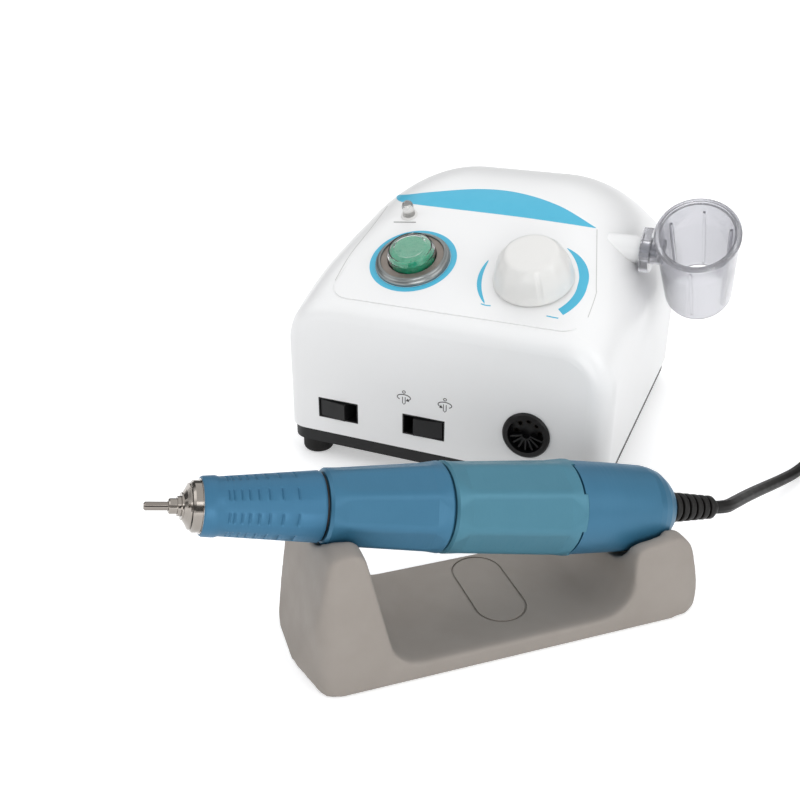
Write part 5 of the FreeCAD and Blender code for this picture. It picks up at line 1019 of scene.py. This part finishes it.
# %% Arch across the top of the panel
ARCH_LOW = [(-42.0, 65.4), (-40.0, 63.9), (-35.0, 63.1), (-22.0, 62.8), (-5.0, 62.6),
            (12.0, 62.3), (28.0, 61.6), (43.0, 60.7)]
ARCH_HIGH = [(-42.6, 67.6), (-37.5, 68.6), (-29.0, 71.4), (-9.0, 76.4), (8.0, 76.4),
             (26.0, 71.1), (43.0, 60.9)]
ARCH_POINTS, ARCH_BANDS = 60, 8
low, high = curve_through(ARCH_LOW, ARCH_POINTS), curve_through(ARCH_HIGH, ARCH_POINTS)
rows = [[(a[0] + (b[0] - a[0]) * t / ARCH_BANDS, a[1] + (b[1] - a[1]) * t / ARCH_BANDS)
         for a, b in zip(low, high)] for t in range(ARCH_BANDS + 1)]
ink("arch_print", rows, cyan_ink)
print("arch:", ARCH_POINTS - 1, "x", ARCH_BANDS, "faces")

# %% Ring round the power button and crescents round the knob
def round_rows(centre, inner, outer, first, last, count, layers=4):
    """Rows of points between two radii, which may change along the angle."""
    rows = []
    for layer in range(layers + 1):
        row = []
        for step in range(count):
            share = step / (count - 1)
            angle = math.radians(first + (last - first) * share)
            near, far = inner(share), outer(share)
            reach = near + (far - near) * layer / layers
            row.append((centre[0] + reach * math.cos(angle),
                        centre[1] + reach * math.sin(angle)))
        rows.append(row)
    return rows


ink("power_ring_print", round_rows(BUTTON_CENTRE, lambda t: 14.9, lambda t: 17.24, 0, 360, 97),
    cyan_ink)
CRESCENT_WIDTH, CRESCENT_RADIUS, CRESCENT_LOW_RADIUS = 3.5, 20.0, 21.9
CRESCENT_TAPER = 0.45  # the share of its length over which the crescent runs out to a tip
LEFT_WIDTH, LEFT_RADIUS = 1.6, 21.1


def crescent_outer(share):
    return CRESCENT_RADIUS + (CRESCENT_LOW_RADIUS - CRESCENT_RADIUS) * max(1 - share / 0.4, 0.0)


def crescent_inner(share):
    taper = math.sin(math.pi / 2 * min(1.0, (1 - share) / CRESCENT_TAPER)) ** 0.8
    return crescent_outer(share) - 0.05 - CRESCENT_WIDTH * taper


ink("speed_crescent_right",
    round_rows(KNOB_CENTRE, crescent_inner, crescent_outer, -45.7, 68, 49), cyan_ink)
ink("speed_crescent_left",
    round_rows(KNOB_CENTRE,
               lambda t: LEFT_RADIUS - 0.15 - LEFT_WIDTH * math.sin(math.pi * t) ** 0.6,
               lambda t: LEFT_RADIUS, 161, 228, 33), cyan_ink)
print("ring and crescents laid")

# %% Fine lines and the turning arrows
def stroke(name, points, width, finish, carry):
    """A line of ink of a given width along flat points."""
    left_side, right_side = [], []
    for k, point in enumerate(points):
        before, after = points[max(k - 1, 0)], points[min(k + 1, len(points) - 1)]
        way = Vector((after[0] - before[0], after[1] - before[1])).normalized()
        left_side.append((point[0] - way.y * width / 2, point[1] + way.x * width / 2))
        right_side.append((point[0] + way.y * width / 2, point[1] - way.x * width / 2))
    return ink(name, [left_side, right_side], finish, carry)


stroke("slow_mark", [(12.4, 13.5), (14.1, 13.1), (16.2, 13.2)], 0.5, cyan_ink, on_casing)
stroke("fast_mark", [(37.4, 12.3), (39.5, 12.1), (41.8, 12.0)], 0.5, cyan_ink, on_casing)
stroke("lamp_mark", curve_through([(-37.5, 51.0), (-33.0, 51.7), (-28.3, 52.4)], 20), 0.4,
       dark_ink, on_casing)
# The groove round the panel is darkened by grey strokes of painted shade along its two sides;
# they are not ink.
LEFT_GROOVE = [(-47.9, 14.5), (-47.9, 29.0), (-45.5, 46.0), (-43.9, 60.0)]
RIGHT_GROOVE = [(51.8, 14.5), (51.7, 26.0), (50.6, 31.0), (43.6, 60.0)]
for name, line in (("left_groove_painted_shade", LEFT_GROOVE), ("right_groove_painted_shade", RIGHT_GROOVE)):
    stroke(name, curve_through(line, 24), 0.3, groove_painted_shade, on_casing)
ICON_LEVEL, SHANK_HALF, ARC_WIDE, ARC_HIGH = 35.4, 0.55, 2.75, 1.2
SHANK_TOP, SHANK_LOW, SHANK_TIP = 35.6, 33.0, 32.5
BALL_LEVEL, BALL_WIDE, BALL_HIGH = 37.7, 0.6, 0.5
for name, middle, side in (("reverse", -13.0, -1), ("forward", 3.8, 1)):
    sweep = [math.radians(90 - side * (140 - 8.5 * k)) for k in range(34)]
    hoop = [(middle + ARC_WIDE * math.cos(angle), ICON_LEVEL + ARC_HIGH * math.sin(angle))
            for angle in sweep]
    stroke(name + "_turn_arc", hoop, 0.36, dark_ink, on_front)
    tip, back = Vector(hoop[-1]), Vector(hoop[-3])
    way = (tip - back).normalized()
    square = Vector((-way.y, way.x))
    head = [[tuple(tip - way * 0.2 + square * 0.75), tuple(tip - way * 0.2 - square * 0.75)],
            [tuple(tip + way * 1.0 + square * 0.05), tuple(tip + way * 1.0 - square * 0.05)]]
    ink(name + "_turn_head", head, dark_ink, on_front)
    shank = [(middle - SHANK_HALF, SHANK_TOP), (middle - SHANK_HALF, SHANK_LOW),
             (middle, SHANK_TIP), (middle + SHANK_HALF, SHANK_LOW),
             (middle + SHANK_HALF, SHANK_TOP)]
    stroke(name + "_turn_shank", shank, 0.3, dark_ink, on_front)
    ball = [(middle + BALL_WIDE * math.cos(math.radians(15 * k)),
             BALL_LEVEL + BALL_HIGH * math.sin(math.radians(15 * k))) for k in range(25)]
    stroke(name + "_turn_ball", ball, 0.3, dark_ink, on_front)
print("strokes laid")
